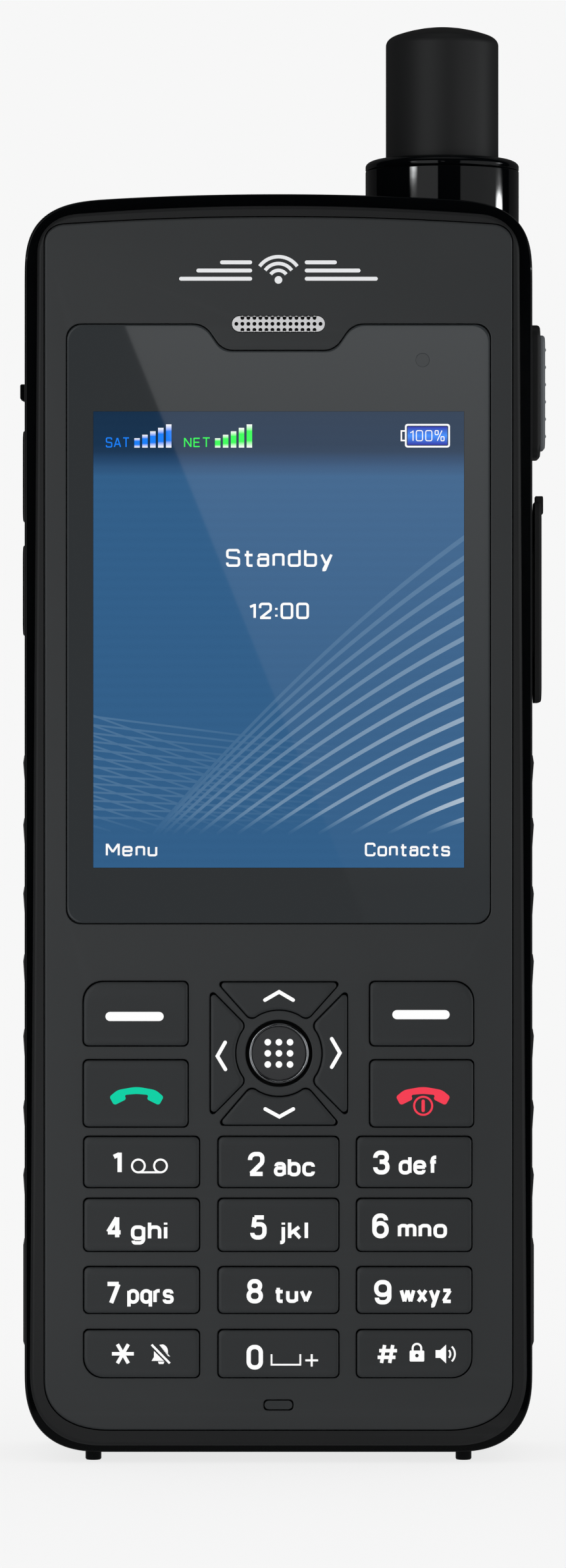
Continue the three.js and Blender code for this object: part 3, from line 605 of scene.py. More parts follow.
def gloss_lacquer(name, colour):
    """Black high-gloss lacquer over smooth plastic, with the faintest orange peel and haze."""
    nodes = Nodes(name)
    nodes.set(Specular_IOR_Level=0.5)
    base = linear(colour)
    nodes.drive("Base Color", nodes.mix(nodes.noise(6), base, shaded(base, 1.15)))
    nodes.drive("Roughness", nodes.ramp(nodes.noise(3, 3), 0.03, 0.055))
    nodes.drive("Normal", nodes.bump(nodes.noise(1.6, 1), 0.0008))
    return nodes.material


def brushed_metal(name, colour, rough, relief=0.0015):
    """Bare or plated metal with faint drawn lines."""
    nodes = Nodes(name)
    nodes.set(Metallic=1.0)
    base = linear(colour)
    lines = nodes.add("ShaderNodeMapping", {"Vector": nodes.place, "Scale": (1, 1, 18)}).outputs[0]
    streaks = nodes.add("ShaderNodeTexNoise", {"Vector": lines, "Scale": 900, "Detail": 2}).outputs["Fac"]
    nodes.drive("Base Color", nodes.mix(streaks, shaded(base, 0.94), base))
    nodes.drive("Roughness", nodes.ramp(streaks, rough * 0.85, rough * 1.15))
    nodes.drive("Normal", nodes.bump(streaks, relief))
    return nodes.material


def under_glass(name):
    """Nodes of a dull layer seen through a clear polished surface."""
    nodes = Nodes(name)
    nodes.set(Roughness=0.6, Specular_IOR_Level=0.0, Coat_Weight=1.0, Coat_Roughness=0.015, Coat_IOR=1.5)
    return nodes


def printed_glass(name, colour):
    """The dark mask printed behind the display's cover."""
    nodes = under_glass(name)
    base = linear(colour)
    speckle = nodes.noise(0.3, 2)
    nodes.drive("Base Color", nodes.mix(speckle, shaded(base, 0.97), base))
    nodes.drive("Roughness", nodes.ramp(speckle, 0.55, 0.65))
    return nodes.material


def screen_light(name):
    """The lit display: each piece's own colour attribute, broken up by the rows of its dots."""
    nodes = under_glass(name)
    nodes.set(Base_Color=(0.0, 0.0, 0.0, 1.0), Emission_Strength=1.0)
    tint = nodes.add("ShaderNodeAttribute", attribute_name="tint").outputs["Color"]
    rows = nodes.add("ShaderNodeTexWave", {"Vector": nodes.place, "Scale": 1 / (0.17 * MM) / 20},
                     bands_direction="Z").outputs["Fac"]
    shade = nodes.ramp(rows, 0.985, 1.015)
    nodes.drive("Emission Color", nodes.add(
        "ShaderNodeVectorMath", {0: tint, 3: shade}, operation="SCALE").outputs[0])
    return nodes.material


def legend_ink(name, colour, lit=0.0):
    """Opaque screen-printed ink with a slightly uneven surface that glows by that much: painted light that
    makes the ink brighter than the lamps alone make it.
    """
    nodes = Nodes(name)
    base = linear(colour)
    # The emission is a painted glow on opaque ink, not a backlight.
    nodes.set(Specular_IOR_Level=0.1, Emission_Color=base, Emission_Strength=lit)
    speckle = nodes.noise(0.15, 2)
    nodes.drive("Base Color", nodes.mix(speckle, shaded(base, 0.96), base))
    nodes.drive("Roughness", nodes.ramp(speckle, 0.45, 0.6))
    return nodes.material


def circuit_laminate(name):
    """Green solder mask with darker copper-free channels."""
    nodes = Nodes(name)
    cells = nodes.add("ShaderNodeTexVoronoi", {"Vector": nodes.place, "Scale": 260},
                      feature="DISTANCE_TO_EDGE").outputs["Distance"]
    tracks = nodes.ramp(cells, 0.0, 1.0, 0.03, 0.08)
    nodes.drive("Base Color", nodes.mix(tracks, linear("#2f6a45"), linear("#17422c")))
    nodes.drive("Roughness", nodes.ramp(nodes.noise(0.8), 0.35, 0.5))
    nodes.drive("Normal", nodes.bump(tracks, 0.03))
    return nodes.material


SOFT_TOUCH = moulded("soft_touch", "#282b2d", 0.42, grain=0.16, relief=0.002, wear=0.1, specular=1.0)
KEY_RUBBER = moulded("key_plastic", "#282b2d", 0.42, grain=0.14, relief=0.002, wear=0.1, specular=0.75)
SATIN = moulded("satin_frame", "#1b1c1d", 0.42, grain=0.1, relief=0.002, wear=0.2)
GLOSS = gloss_lacquer("gloss_black", "#040506")
RUGGED = moulded("rugged_shell", "#1a1b1d", 0.55, grain=0.35, relief=0.02, mottle=0.1, wear=0.35)
RUBBER = moulded("rubber", "#161718", 0.7, grain=0.25, relief=0.012, mottle=0.12, wear=0.3)
ALERT = moulded("alert_key_plastic", "#5a5e62", 0.5, grain=0.2, relief=0.006, wear=0.2)
MAST = moulded("mast_skin", "#18191a", 0.5, grain=0.08, relief=0.001, mottle=0.05, wear=0.1, specular=0.7)
DISC = moulded("centre_disc", "#323335", 0.45, grain=0.1, relief=0.001, wear=0.05)
MOULDING = moulded("inner_moulding", "#1f2123", 0.55)
BATTERY = moulded("battery_wrap", "#2b2e33", 0.42, grain=0.5, relief=0.01, mottle=0.08)
GRILLE_METAL = moulded("grille_metal", "#dcdcde", 0.38, grain=0.08, relief=0.001, mottle=0.03, metallic=0.15)
CHROME = brushed_metal("chrome", "#e2e4e8", 0.07, relief=0.0003)
STEEL = brushed_metal("steel", "#a9abad", 0.32)
BRASS = brushed_metal("brass", "#c8a45a", 0.3)
MASK = printed_glass("display_mask", "#333638")
SENSOR = printed_glass("sensor_tint", "#2f3234")
SCREEN = screen_light("display_light")
# These inks glow a little: painted light that brightens the legends on the keys.
INK = legend_ink("painted_glow_white", "#fafafa", 0.14)
INK_CALL = legend_ink("painted_glow_green", "#00d0a4", 0.1)
INK_END = legend_ink("painted_glow_red", "#f53d52", 0.1)
EMBLEM_INK = legend_ink("emblem_ink", "#f0f1f3")
BOARD = circuit_laminate("circuit_board")
DARK = moulded("dark_cavity", "#060606", 0.8, wear=0.0)


# ---------------------------------------------------------------- camera, floor and lights

def make_camera():
    """Square on to the face, seen through a long lens."""
    data = bpy.data.cameras.new("camera")
    data.lens = LENS
    data.sensor_width = 36
    data.sensor_fit = "AUTO"
    data.clip_end = 20
    made = linked("camera", data)
    made.location = tuple(c * MM for c in EYE)
    made.rotation_euler = (math.pi / 2, 0, 0)
    bpy.context.scene.camera = made


def make_world():
    world = bpy.data.worlds.new("studio")
    world.use_nodes = True
    world.node_tree.nodes["Background"].inputs["Color"].default_value = linear(PALE_HEX)
    world.cycles_visibility.glossy = False
    bpy.context.scene.world = world


def pale_material(name, lit_share, level=1.0):
    """The studio's pale surface: lit_share of its brightness answers to its surroundings, and the
    rest glows. Level dims the whole."""
    nodes = Nodes(name)
    nodes.set(Roughness=0.9, Specular_IOR_Level=0.0, Base_Color=(lit_share * level,) * 3 + (1.0,),
              Emission_Color=linear(PALE_HEX), Emission_Strength=(1 - lit_share) * level)
    return nodes.material


def glow(name):
    """Nodes of a surface that glows and takes no light. The caller drives its strength."""
    nodes = Nodes(name)
    nodes.set(Base_Color=(0, 0, 0, 1), Specular_IOR_Level=0.0, Emission_Color=CARD_TINT)
    return nodes


def sheet(name, corners, material, hidden=True):
    """A flat stage piece. A hidden one is seen only by polished surfaces."""
    mesh = bpy.data.meshes.new(name)
    mesh.from_pydata([tuple(c * MM for c in corner) for corner in corners], [], [(0, 1, 2, 3)])
    mesh.materials.append(material)
    made = linked(name, mesh)
    if hidden:
        made.visible_camera = False
        made.visible_diffuse = False
        made.visible_shadow = False
    return made


def upright_sheet(name, y, corners, material):
    return sheet(name, [(x, y, z) for x, z in corners], material)


def ground_corners(half, near, z):
    return [(-half, near, z), (half, near, z), (half, near + 2 * half, z), (-half, near + 2 * half, z)]


def make_floor():
    """A wide pale floor that mirrors nowhere, and the patch of it that polished parts reflect. A pale
    wall behind is seen only in polished edges, and the pale world stands behind it."""
    floor = sheet("floor", ground_corners(4000, -4000, FLOOR_Z), pale_material("pale_floor", 0.16), False)
    floor.visible_glossy = False
    dim = pale_material("dim_floor", 0.16, 0.09)
    sheet("floor_reflection", ground_corners(350, -70, FLOOR_Z - 0.01), dim)
    upright_sheet("backdrop", 380, [(-700, -200), (700, -200), (700, 900), (-700, 900)],
                  pale_material("dim_wall", 0.1, 0.05))


def card(name, azimuth, distance, width, height, radiance, middle_z=80.0, soft=0.1, tilt=0.0):
    """A glowing card that only polished surfaces see, its border fading over a share of its size.

    Azimuth is in degrees about the antenna, 0 being the camera's side and 90 the right."""
    nodes = glow(name)
    place = nodes.add("ShaderNodeSeparateXYZ", {0: nodes.place})
    fades = [nodes.ramp(nodes.math("ABSOLUTE", place.outputs[way]), 1.0, 0.0, 0.5 - soft, 0.5)
             for way in ("X", "Z")]
    nodes.drive("Emission Strength", nodes.ramp(nodes.math("MULTIPLY", *fades), 0.0, radiance))
    made = upright_sheet(name, 0, [(-500, -500), (500, -500), (500, 500), (-500, 500)], nodes.material)
    turn = math.radians(azimuth)
    hub = centre("antenna_collar")[0]
    made.location = Vector((hub + math.sin(turn) * distance, -math.cos(turn) * distance, middle_z)) * MM
    made.rotation_euler = (math.radians(tilt), 0, turn)
    made.scale = (width * MM, 1, height * MM)


def make_cards():
    card("left_card", -28.4, 520, 400, 460, 0.6, soft=0.02)
    card("right_card", 62, 480, 720, 460, 0.39, soft=0.04)
    card("left_spot", -45, 420, 100, 7, 26, middle_z=182.5, soft=0.45)
    card("right_spot", 94, 420, 120, 6, 60, middle_z=174.5, soft=0.45)
    card("top_card", 0, 60, 420, 260, 0.2, middle_z=520, soft=0.3, tilt=-80)


def make_sheen_card():
    """A pale card beside the lens of the camera. The display cover mirrors its slanting edge."""
    cover = span("display_lens")
    swell = 1 + (cover.y0 - CARD_Y) / (cover.y0 - EYE[1])
    right = cover.x1 - 0.1
    seen = [(SHEEN_FOOT, cover.z0), (right, cover.z0), (right, cover.z1), (SHEEN_HEAD, cover.z1)]
    corners = [(EYE[0] + swell * (x - EYE[0]), EYE[2] + swell * (z - EYE[2])) for x, z in seen]
    nodes = glow("sheen_card")
    height = nodes.add("ShaderNodeSeparateXYZ", {0: nodes.place}).outputs["Z"]
    nodes.drive("Emission Strength", nodes.ramp(
        height, SHEEN_FAINT, SHEEN_GLOW, (corners[0][1] + 8) * MM, corners[2][1] * MM))
    upright_sheet("sheen_card", CARD_Y, corners, nodes.material)


# ---------------------------------------------------------------- face

def groove_corners(node):
    """A key's outline along the middle of its groove."""
    box = span(node)
    corners = box_corners(box.x0, box.x1, box.z0, box.z1, KEY_CORNER - GROOVE / 2)
    if node in BIG_CORNERS:
        big = BIG_CORNERS[node]
        corners[big] = (*corners[big][:2], KEY_BIG_CORNER - GROOVE / 2)
    return grow(corners, GROOVE / 2)


def nav_corners(node):
    """The groove's middle around a direction key: a trapezium with a hollow inner edge."""
    middle = centre("nav_ring")
    box = span(node)
    gaps = {"nav_up": box.z1 - middle[1], "nav_down": middle[1] - box.z0,
            "nav_left": middle[0] - box.x0, "nav_right": box.x1 - middle[0]}
    reach = gaps[node] + GROOVE / 2
    half = NAV_OUTER_HALF[node]
    corners = [(half, reach, NAV_OUTER_CORNER), (-half, reach, NAV_OUTER_CORNER)]
    inner = NAV_SPREAD - NAV_ARC_MARGIN
    spokes = [-NAV_SPREAD] + [inner * (i / 6 - 1) for i in range(13)] + [NAV_SPREAD]
    for spoke in spokes:
        turn = math.radians(spoke)
        radius = NAV_INNER_CORNER if abs(spoke) == NAV_SPREAD else 0.0
        corners.append((NAV_ARC * math.sin(turn), NAV_ARC * math.cos(turn), radius))
    turn = math.radians(NAV_TURN[node])
    cos, sin = math.cos(turn), math.sin(turn)
    return [(middle[0] + u * cos - v * sin, middle[1] + u * sin + v * cos, r) for u, v, r in corners]


KEYS = {name: groove_corners(name) for name in PLAIN_KEYS}
KEYS.update({name: nav_corners(name) for name in NAV_TURN})


def lens_corners():
    """The display cover's outline along the middle of its groove, with the notch for the earpiece."""
    box = span("display_lens")
    left, right = box.x0 - GROOVE / 2, box.x1 + GROOVE / 2
    low, high = box.z0 - GROOVE / 2, box.z1 + GROOVE / 2
    foot = high - NOTCH_DEPTH
    notch = [(NOTCH_MOUTH, high), (NOTCH_FLOOR, foot), (-NOTCH_FLOOR, foot), (-NOTCH_MOUTH, high)]
    corners = box_corners(left, right, low, high, LENS_CORNER)
    return corners[:3] + [(u, v, NOTCH_CORNER) for u, v in notch] + corners[3:]


def grille_corners():
    """The earpiece's outline, with fully rounded ends."""
    box = span("earpiece_grille")
    return box_corners(box.x0, box.x1, box.z0, box.z1, (box.z1 - box.z0) / 2 - 0.01)


def mic_corners():
    x, z = centre("microphone")
    return box_corners(x - MIC_HALF[0], x + MIC_HALF[0], z - MIC_HALF[1], z + MIC_HALF[1], MIC_CORNER)


def make_panel():
    box = span("face_panel")
    openings = [of_corners(grow(corners, GROOVE / 2))
                for corners in (*KEYS.values(), lens_corners(), grille_corners())]
    openings += [of_corners(mic_corners()), of_circle(NAV_WELL, centre("nav_ring"), DISC_ROUND)]
    solid = Solid().slab(PANEL, soft_slab(box.y0, box.y1, PANEL_EDGE), openings,
                         lip(box.y0, PANEL_LIP) + [(0, box.y1)])
    piece("face_panel_skin", solid, SOFT_TOUCH, "handset", ["face_panel"])
    floor = Solid().plate(rounded(grow(mic_corners(), -0.13)), box.y0 + 0.03, box.y1)
    piece("microphone_recess", floor, KEY_RUBBER, "handset")


def make_frame():
    box = span("front_frame")
    floor = span("face_panel").y1 + 0.3
    base = Solid().slab(FRAME, soft_edge(box.y0, *FRAME_EDGE) + [(0, box.y1)])
    recess = Solid().slab(lambda inset: PANEL(-PANEL_GAP), [(0, box.y0 - BEYOND), (0, floor)])
    windows = [box_plate(w.x0 - 0.3, w.x1 + 0.3, w.z0 - 0.3, w.z1 + 0.3, 0, floor - BEYOND, box.y1 + BEYOND)
               for w in (span("lcd_module"), span("keypad_mat"))]
    piece("front_frame_trim", carved(base, [recess, *windows]), SATIN, "handset",
          ["front_frame"])


def make_keys():
    for name, corners in KEYS.items():
        box = span(name)
        cap = Solid().slab(of_corners(grow(corners, -GROOVE / 2)),
                           soft_edge(box.y0 + PRINT, KEY_EDGE, KEY_FALL) + [(0, box.y1)])
        piece(name + "_cap", cap, KEY_RUBBER, name, [name])


def make_nav_centre():
    middle = centre("nav_ring")
    box, ring = span("nav_centre"), span("nav_ring")
    outer = (ring.x1 - ring.x0) / 2
    button = Solid().slab(of_circle(outer - 0.35, middle, 72), soft_slab(box.y0 + PRINT, box.y1, 0.12))
    piece("nav_centre_disc", button, DISC, "nav_centre", ["nav_centre"])
    half, shoulder = RING_WIDTH / 2, ring.y0 + RING_CREST
    crest = [(outer - RING_WIDTH, ring.y1), (outer - RING_WIDTH, shoulder)]
    crest += [(outer - half - half * math.cos(a), shoulder - RING_CREST * math.sin(a))
              for a in (math.pi * i / 8 for i in range(1, 8))]
    crest += [(outer, shoulder), (outer, ring.y1)]
    shape = Solid()
    rings = shape.loft(of_circle(outer, middle, ROUND), [(outer - radius, depth) for radius, depth in crest])
    shape.wall(rings[-1], rings[0])
    piece("nav_chrome_ring", shape, CHROME, "nav_centre", ["nav_ring"], sharp=60)


def make_grille():
    box = span("earpiece_grille")
    x, z = centre("earpiece_grille")
    spots = [(x + column * HOLE_PITCH, z + row * HOLE_PITCH)
             for row in (-1, 0, 1) for column in range(-HOLE_COLUMNS, HOLE_COLUMNS + 1)
             if abs(row) + abs(column) <= HOLE_COLUMNS]
    holes = [of_circle(HOLE_RADIUS, spot, 14) for spot in spots]
    back = box.y0 + MESH_THICK
    mesh = Solid().slab(of_corners(grille_corners()), soft_edge(box.y0, 0.05, 0.05) + [(0, back)],
                        holes, [(0, box.y0), (0, back)])
    piece("earpiece_mesh", mesh, GRILLE_METAL, "handset", ["earpiece_grille"])
    cloth = Solid().plate(rounded(grow(grille_corners(), -0.05)), back + 0.05, box.y1)
    piece("earpiece_dust_cloth", cloth, DARK, "handset")


# ---------------------------------------------------------------- display

def screen_box():
    """The lit area: left, right, low and high."""
    box = span("lcd_module")
    left, right, foot, head = SCREEN_MARGINS
    return box.x0 + left, box.x1 - right, box.z0 + foot, box.z1 - head


def screen_tone(below_top):
    """The background's colour at a distance below the lit area's top, in linear light."""
    for (start, first), (end, second) in zip(SCREEN_BACKGROUND, SCREEN_BACKGROUND[1:]):
        if below_top <= end:
            return between(first, second, (below_top - start) / (end - start))
    return linear(SCREEN_BACKGROUND[-1][1])[:3]


def blended(tone, share):
    """A background tone with a share of white laid over it, mixed as a display mixes colours."""
    mixed = (t ** (1 / 2.2) * (1 - share) + share for t in tone)
    return tuple(m ** 2.2 for m in mixed)


def lit(name, solid, tint, sharp=38):
    """A piece of the screen. Each vertex has the colour that tint says for its place in millimetres."""
    made = piece(name, solid, SCREEN, "handset", sharp=sharp)
    layer = made.data.attributes.new("tint", "FLOAT_COLOR", "POINT")
    for vertex, value in zip(made.data.vertices, layer.data):
        value.color = (*tint(vertex.co.x / MM, vertex.co.z / MM), 1.0)


def make_display():
    box = span("display_lens")
    left, right, low, high = screen_box()
    window = of_corners(box_corners(left, right, low, high))
    cover = Solid().slab(of_corners(grow(lens_corners(), -GROOVE / 2)),
                         soft_edge(box.y0, 0.12, 0.1) + [(0, box.y1)], [window], [(0, box.y0), (0, box.y1)])
    piece("display_cover", cover, MASK, "handset", ["display_lens"])
    gap = 0.02
    outline = rounded(box_corners(left + gap, right - gap, -box.y1, -SCREEN_FRONT))
    levels = [low + gap] + [high - below for below, _ in SCREEN_BACKGROUND[:0:-1]] + [high - gap]
    face = Solid("below").slab(lambda inset: outline, [(0, z) for z in levels])
    lit("screen_face", face, lambda x, z: screen_tone(high - z))
    spot = (box.x1 - SENSOR_PLACE[0], box.z1 - SENSOR_PLACE[1])
    sensor = Solid().slab(of_circle(SENSOR_RADIUS, spot, 48), soft_slab(box.y0 - 0.006, box.y0 + 0.2, 0.02))
    piece("light_sensor_window", sensor, SENSOR, "handset")


def ribbon(track, widths):
    """The outline of a line of changing width whose ends are cut upright."""
    foot = [(u, v - width / 2) for (u, v), width in zip(track, widths)]
    return foot + [(u, v + width / 2) for (u, v), width in zip(track, widths)][::-1]


def make_screen_lines():
    """The screen's background drawing: a fan of rising lines over two families of fine ones."""
    left, right, low, high = screen_box()
    foot = low + LINES_FOOT

    def tinted(z, strength):
        return blended(screen_tone(high - z), strength * max(0.0, min(1.0, (z - foot) / LINES_FADE)))

    for i in range(FAN_LINES):
        share = i / (FAN_LINES - 1)
        start = (left + FAN_FEET[0] + FAN_FEET[1] * share ** FAN_FEET[2], foot)
        end = (right - 0.03, high - FAN_HEADS[0] - FAN_HEADS[1] * i)
        wide = end[0] - start[0]
        bend = (start[0] + FAN_BEND[0] * wide, start[1] + FAN_BEND[1] * (end[1] - start[1]))
        shares = [t / FAN_STEPS for t in range(FAN_STEPS + 1)]
        track = [bezier(start, bend, end, t) for t in shares]
        widths = [(0.34 + 0.14 * t) * (1.3 - 0.2 * share) for t in shares]
        line = Solid().plate(ribbon(track, widths), SCREEN_FRONT - SCREEN_LAYER * 2, SCREEN_FRONT)

        def tone(x, z, strength=0.12 + 0.52 * share, begin=start[0], wide=wide):
            return tinted(z, strength * (0.6 + 0.4 * (x - begin) / wide))
        lit(f"screen_fan_line_{i + 1}", line, tone)

    for family, (count, top, pitch, slope, level, reach) in enumerate(FINE_LINES):
        lines = Solid()
        for i in range(count):
            fall = slope - level * i
            track = [(left + 0.03 + reach * t / FINE_STEPS,
                      high - top - pitch * i - fall * reach * t / FINE_STEPS) for t in range(FINE_STEPS + 1)]
            track = [point for point in track if point[1] > foot - 0.2]
            if len(track) > 1:
                lines.plate(ribbon(track, [FINE_WIDTH] * len(track)),
                            SCREEN_FRONT - SCREEN_LAYER * (1 - family * 0.4), SCREEN_FRONT)
        lit(f"screen_fine_lines_{family + 1}", lines,
            lambda x, z, reach=reach: tinted(z, FINE_STRENGTH * max(0.0, 1 - (x - left) / reach) ** 0.7))


# ---------------------------------------------------------------- lettering and icons

def bowl(left, right, low, high, radius=9.0):
    """A closed round pen line, as one stroke that starts and ends half way up its left side."""
    radius = min(radius, (right - left) / 2, (high - low) / 2)
    middle = (low + high) / 2
    return [(left, middle, 0), (left, high, radius), (right, high, radius), (right, low, radius),
            (left, low, radius), (left, middle, 0)]


def pens(text):
    """Pen strokes, written apart by semicolons and their points by spaces. A point is x,y, or
    x,y,radius where the line bends around."""
    return [[tuple(float(number) for number in (point + ",0").split(",")[:3]) for point in line.split()]
            for line in text.split(";")]


ROUND_LETTER = bowl(0, 3.6, 0, 5, 1.75)
ARCH = "0,3 0,5,1.6 3.3,5,1.5 3.3,0"
# Each character's pen strokes, on a grid where capitals and digits stand 7 high and x is 5.
GLYPHS = {
    "0": [bowl(0, 3.8, 0, 7)],
    "1": pens("1.7,7 1.7,0; 0,5.5 1.6,6.4"),
    "2": pens("0,4.9 0,7,1.9 3.9,7,1.9 3.9,4,1.8 0.3,0.1; 0,0 4,0"),
    "3": pens("0,5.2 0,7,1.8 3.7,7,1.8 3.7,3.8,1.5 1.4,3.8; 1.4,3.75 3.9,3.75,1.7 3.9,0,1.8 0,0,1.8 0,1.8"),
    "4": pens("3,7 3,0; 2.9,6.9 0.1,1.9; 0,1.75 4.1,1.75"),
    "5": pens("3.7,7 0.7,7; 0.8,7 0.35,3.6; 0.4,3.7 1.1,4.6,0.8 3.9,4.6,1.9 3.9,0,1.9 0,0,1.8 0,1.6"),
    "6": [bowl(0, 3.9, 0, 4.4), *pens("3.7,5.4 3.7,7,1.6 0,7,1.9 0,2.2")],
    "7": pens("0,7 4,7; 3.9,6.9 1.3,0"),
    "8": [bowl(0.25, 3.65, 3.75, 7), bowl(0, 3.9, 0, 3.75)],
    "9": [bowl(0, 3.9, 2.6, 7), *pens("3.9,4.8 3.9,0,1.9 0.2,0,1.6 0.2,1.6")],
    "#": pens("1,0 1.8,7; 3.1,0 3.9,7; 0,2.2 4.6,2.2; 0.4,4.8 5,4.8"),
    "%": [bowl(0, 1.9, 4.2, 7), bowl(3.6, 5.5, 0, 2.8), *pens("1.3,0 4.2,7")],
    ":": pens("0,0.6 0,1.6; 0,4 0,5"),
    "a": pens("0.2,3.8 0.2,5,1.2 3.3,5,1.4 3.3,0; 3.3,3 0,3,1.2 0,0,1.4 3.3,0,1.6 3.3,1.8"),
    "b": [*pens("0,7 0,0"), ROUND_LETTER],
    "c": pens("3.5,3.6 3.5,5,1.6 0,5,1.75 0,0,1.75 3.5,0,1.6 3.5,1.4"),
    "d": [*pens("3.6,7 3.6,0"), ROUND_LETTER],
    "e": pens("0.1,2.6 3.8,2.6; 3.6,2.5 3.6,5,1.75 0,5,1.75 0,0,1.75 3.4,0,1.5 3.4,1.3"),
    "f": pens("0.9,0 0.9,7,1.1 2.3,7; 0,4.9 2.2,4.9"),
    "g": [ROUND_LETTER, *pens("3.6,5 3.6,-2,1.7 0.2,-2,1.3 0.2,-1")],
    "h": pens("0,7 0,0;" + ARCH),
    "i": pens("0,0 0,5; 0,6.1 0,7"),
    "j": pens("1,5 1,-2,0.9 0,-2; 1,6.1 1,7"),
    "k": pens("0,7 0,0; 0.1,1.9 3,5; 1.3,3.1 3.3,0"),
    "l": pens("0,7 0,0"),
    "m": pens("0,5 0,0; 0,3 0,5,1.4 2.7,5,1.3 2.7,0; 2.7,3 2.7,5,1.4 5.4,5,1.3 5.4,0"),
    "n": pens("0,5 0,0;" + ARCH),
    "o": [ROUND_LETTER],
    "p": [*pens("0,5 0,-2"), ROUND_LETTER],
    "q": [*pens("3.6,5 3.6,-2"), ROUND_LETTER],
    "r": pens("0,5 0,0; 0,3 0,5,1.4 2,5"),
    "s": pens("3.2,3.8 3.2,5,1.2 0.1,5,1.2 0.1,2.7,1.1 3.3,2.4,1.1 3.3,0,1.2 0,0,1.2 0,1.2"),
    "t": pens("1,6.7 1,0,1.1 2.7,0; 0,4.8 2.7,4.8"),
    "u": pens("0,5 0,0,1.5 3.3,0,1.6 3.3,2; 3.3,5 3.3,0"),
    "v": pens("0,5 1.65,0; 3.4,5 1.75,0"),
    "w": pens("0,5 1.3,0; 2.6,5 1.4,0; 2.7,5 3.9,0; 5.3,5 4,0"),
    "x": pens("0,5 3.3,0; 0,0 3.3,5"),
    "y": pens("0,5 1.75,0.2; 3.4,5 1.2,-2,0.6 0.3,-2"),
    "z": pens("0.1,5 3.2,5; 3,4.9 0.2,0.1; 0,0 3.3,0"),
    "A": pens("0,0 2.2,7; 4.6,0 2.4,7; 0.8,2.1 3.8,2.1"),
    "C": pens("4.2,5.3 4.2,7,1.8 0,7,2.1 0,0,2.1 4.2,0,1.8 4.2,1.7"),
    "E": pens("0,7 0,0; 0,6.7 3.6,6.7; 0,3.6 3.3,3.6; 0,0.3 3.6,0.3"),
    "M": pens("0,0 0,7; 0.2,6.8 2.6,2; 5,6.8 2.6,2; 5.2,0 5.2,7"),
    "N": pens("0,0 0,7; 0.1,6.8 3.9,0.2; 4,0 4,7"),
    "S": pens("3.9,5.6 3.9,7,1.4 0,7,1.5 0,3.8,1.4 4,3.3,1.4 4,0,1.5 0,0,1.4 0,1.4"),
    "T": pens("0,7 4.4,7; 2.2,7 2.2,0"),
}


def lettering(text):
    """The strokes of a line of text, one list for each character, on the glyphs' grid."""
    cursor, line = 0.0, []
    for character in text:
        strokes = GLYPHS.get(character, [])
        line.append([[(x + cursor, y, r) for x, y, r in track] for track in strokes])
        cursor += max((x for track in strokes for x, _, _ in track), default=SPACE) + LETTER_GAP
    return line


class Print:
    """Flat printed shapes at one depth, in millimetres from a middle."""

    def __init__(self, middle, front):
        self.middle = middle
        self.front = front
        self.back = front + PRINT
        self.solid = Solid()
        self.layer = 0

    def shape(self, points, holes=()):
        """A flat outline. Each later shape sits a little deeper, so that none share a plane."""
        near = self.front + self.layer * 0.001
        self.layer += 1
        moved = [[(u + self.middle[0], v + self.middle[1]) for u, v in loop] for loop in (points, *holes)]
        stations = [(0, near), (0, self.back)]
        self.solid.slab(lambda inset: moved[0], stations,
                        [lambda inset, loop=loop: loop for loop in moved[1:]], stations)

    def stroke(self, points, width, round_ends=True):
        self.shape(stroke(points, width, round_ends))

    def ring(self, middle, radius, width, segments=40):
        self.shape(circle(radius, middle, segments), [circle(radius - width, middle, segments)])

    def text(self, text, left, right, low, high, width, roundness=1.0):
        """A line of text drawn with a pen of that width, fitted to a box."""
        line = lettering(text)
        xs, ys, _ = zip(*(point for strokes in line for track in strokes for point in track))
        x0, y0 = min(xs), min(ys)
        wide = (right - left - width) / max(max(xs) - x0, 0.01)
        tall = (high - low - width) / (max(ys) - y0)
        for strokes in line:
            self.layer = 0
            for track in strokes:
                moved = [(left + width / 2 + (x - x0) * wide, low + width / 2 + (y - y0) * tall,
                          r * min(wide, tall) * roundness) for x, y, r in track]
                self.stroke(rounded(moved), width, False)


def key_legend(node, draw, ink=INK, middle=None):
    """The legend on a key, as draw puts it on."""
    legend = Print(middle or centre(node), span(node).y0)
    draw(legend)
    piece(node + "_legend", legend.solid, ink, node, sharp=30)


def star(legend):
    """Six arms about a middle, as one outline."""
    reach, half = 1.2, 0.19
    points = []
    for arm in range(6):
        turn, notch = math.radians(60 * arm), math.radians(60 * arm + 30)
        along, side = Vector((math.cos(turn), math.sin(turn))), Vector((-math.sin(turn), math.cos(turn)))
        inner = Vector((math.cos(notch), math.sin(notch))) * (half / math.sin(math.radians(30)))
        tip = along * reach
        points += [(p.x - 2.05, p.y) for p in (tip - side * half, tip + side * half, inner)]
    legend.shape(points)


def muted_bell(legend):
    """A bell cut by a slanting gap, with a bar along the gap."""
    legend.shape([(1.95, 0.98)] + arc((2.13, 0.3), 0.76, 84, 0, 8)[1:] + [(2.9, -0.25), (3.15, -0.3)])
    legend.shape([(1.1, -0.78), (1.36, -0.35), (1.36, 0.3), (2.45, -0.78)])
    legend.shape([(1.8, -0.86), (2.5, -0.86), (2.4, -1.12), (1.9, -1.12)])
    legend.stroke([(1.1, 1.0), (3.1, -1.05)], 0.24, False)


def messages(legend):
    """Two reels joined along their feet."""
    legend.ring((-0.35, -0.42), 0.81, 0.22)
    legend.ring((2.08, -0.42), 0.81, 0.22)
    legend.stroke([(-0.35, -1.12), (2.08, -1.12)], 0.22, False)


def space_and_plus(legend):
    legend.stroke([(-0.76, -0.05), (-0.76, -1.2), (2.4, -1.2), (2.4, -0.05)], 0.19, False)
    legend.stroke([(2.95, -0.72), (4.35, -0.72)], 0.22, False)
    legend.stroke([(3.65, -1.4), (3.65, -0.05)], 0.22, False)


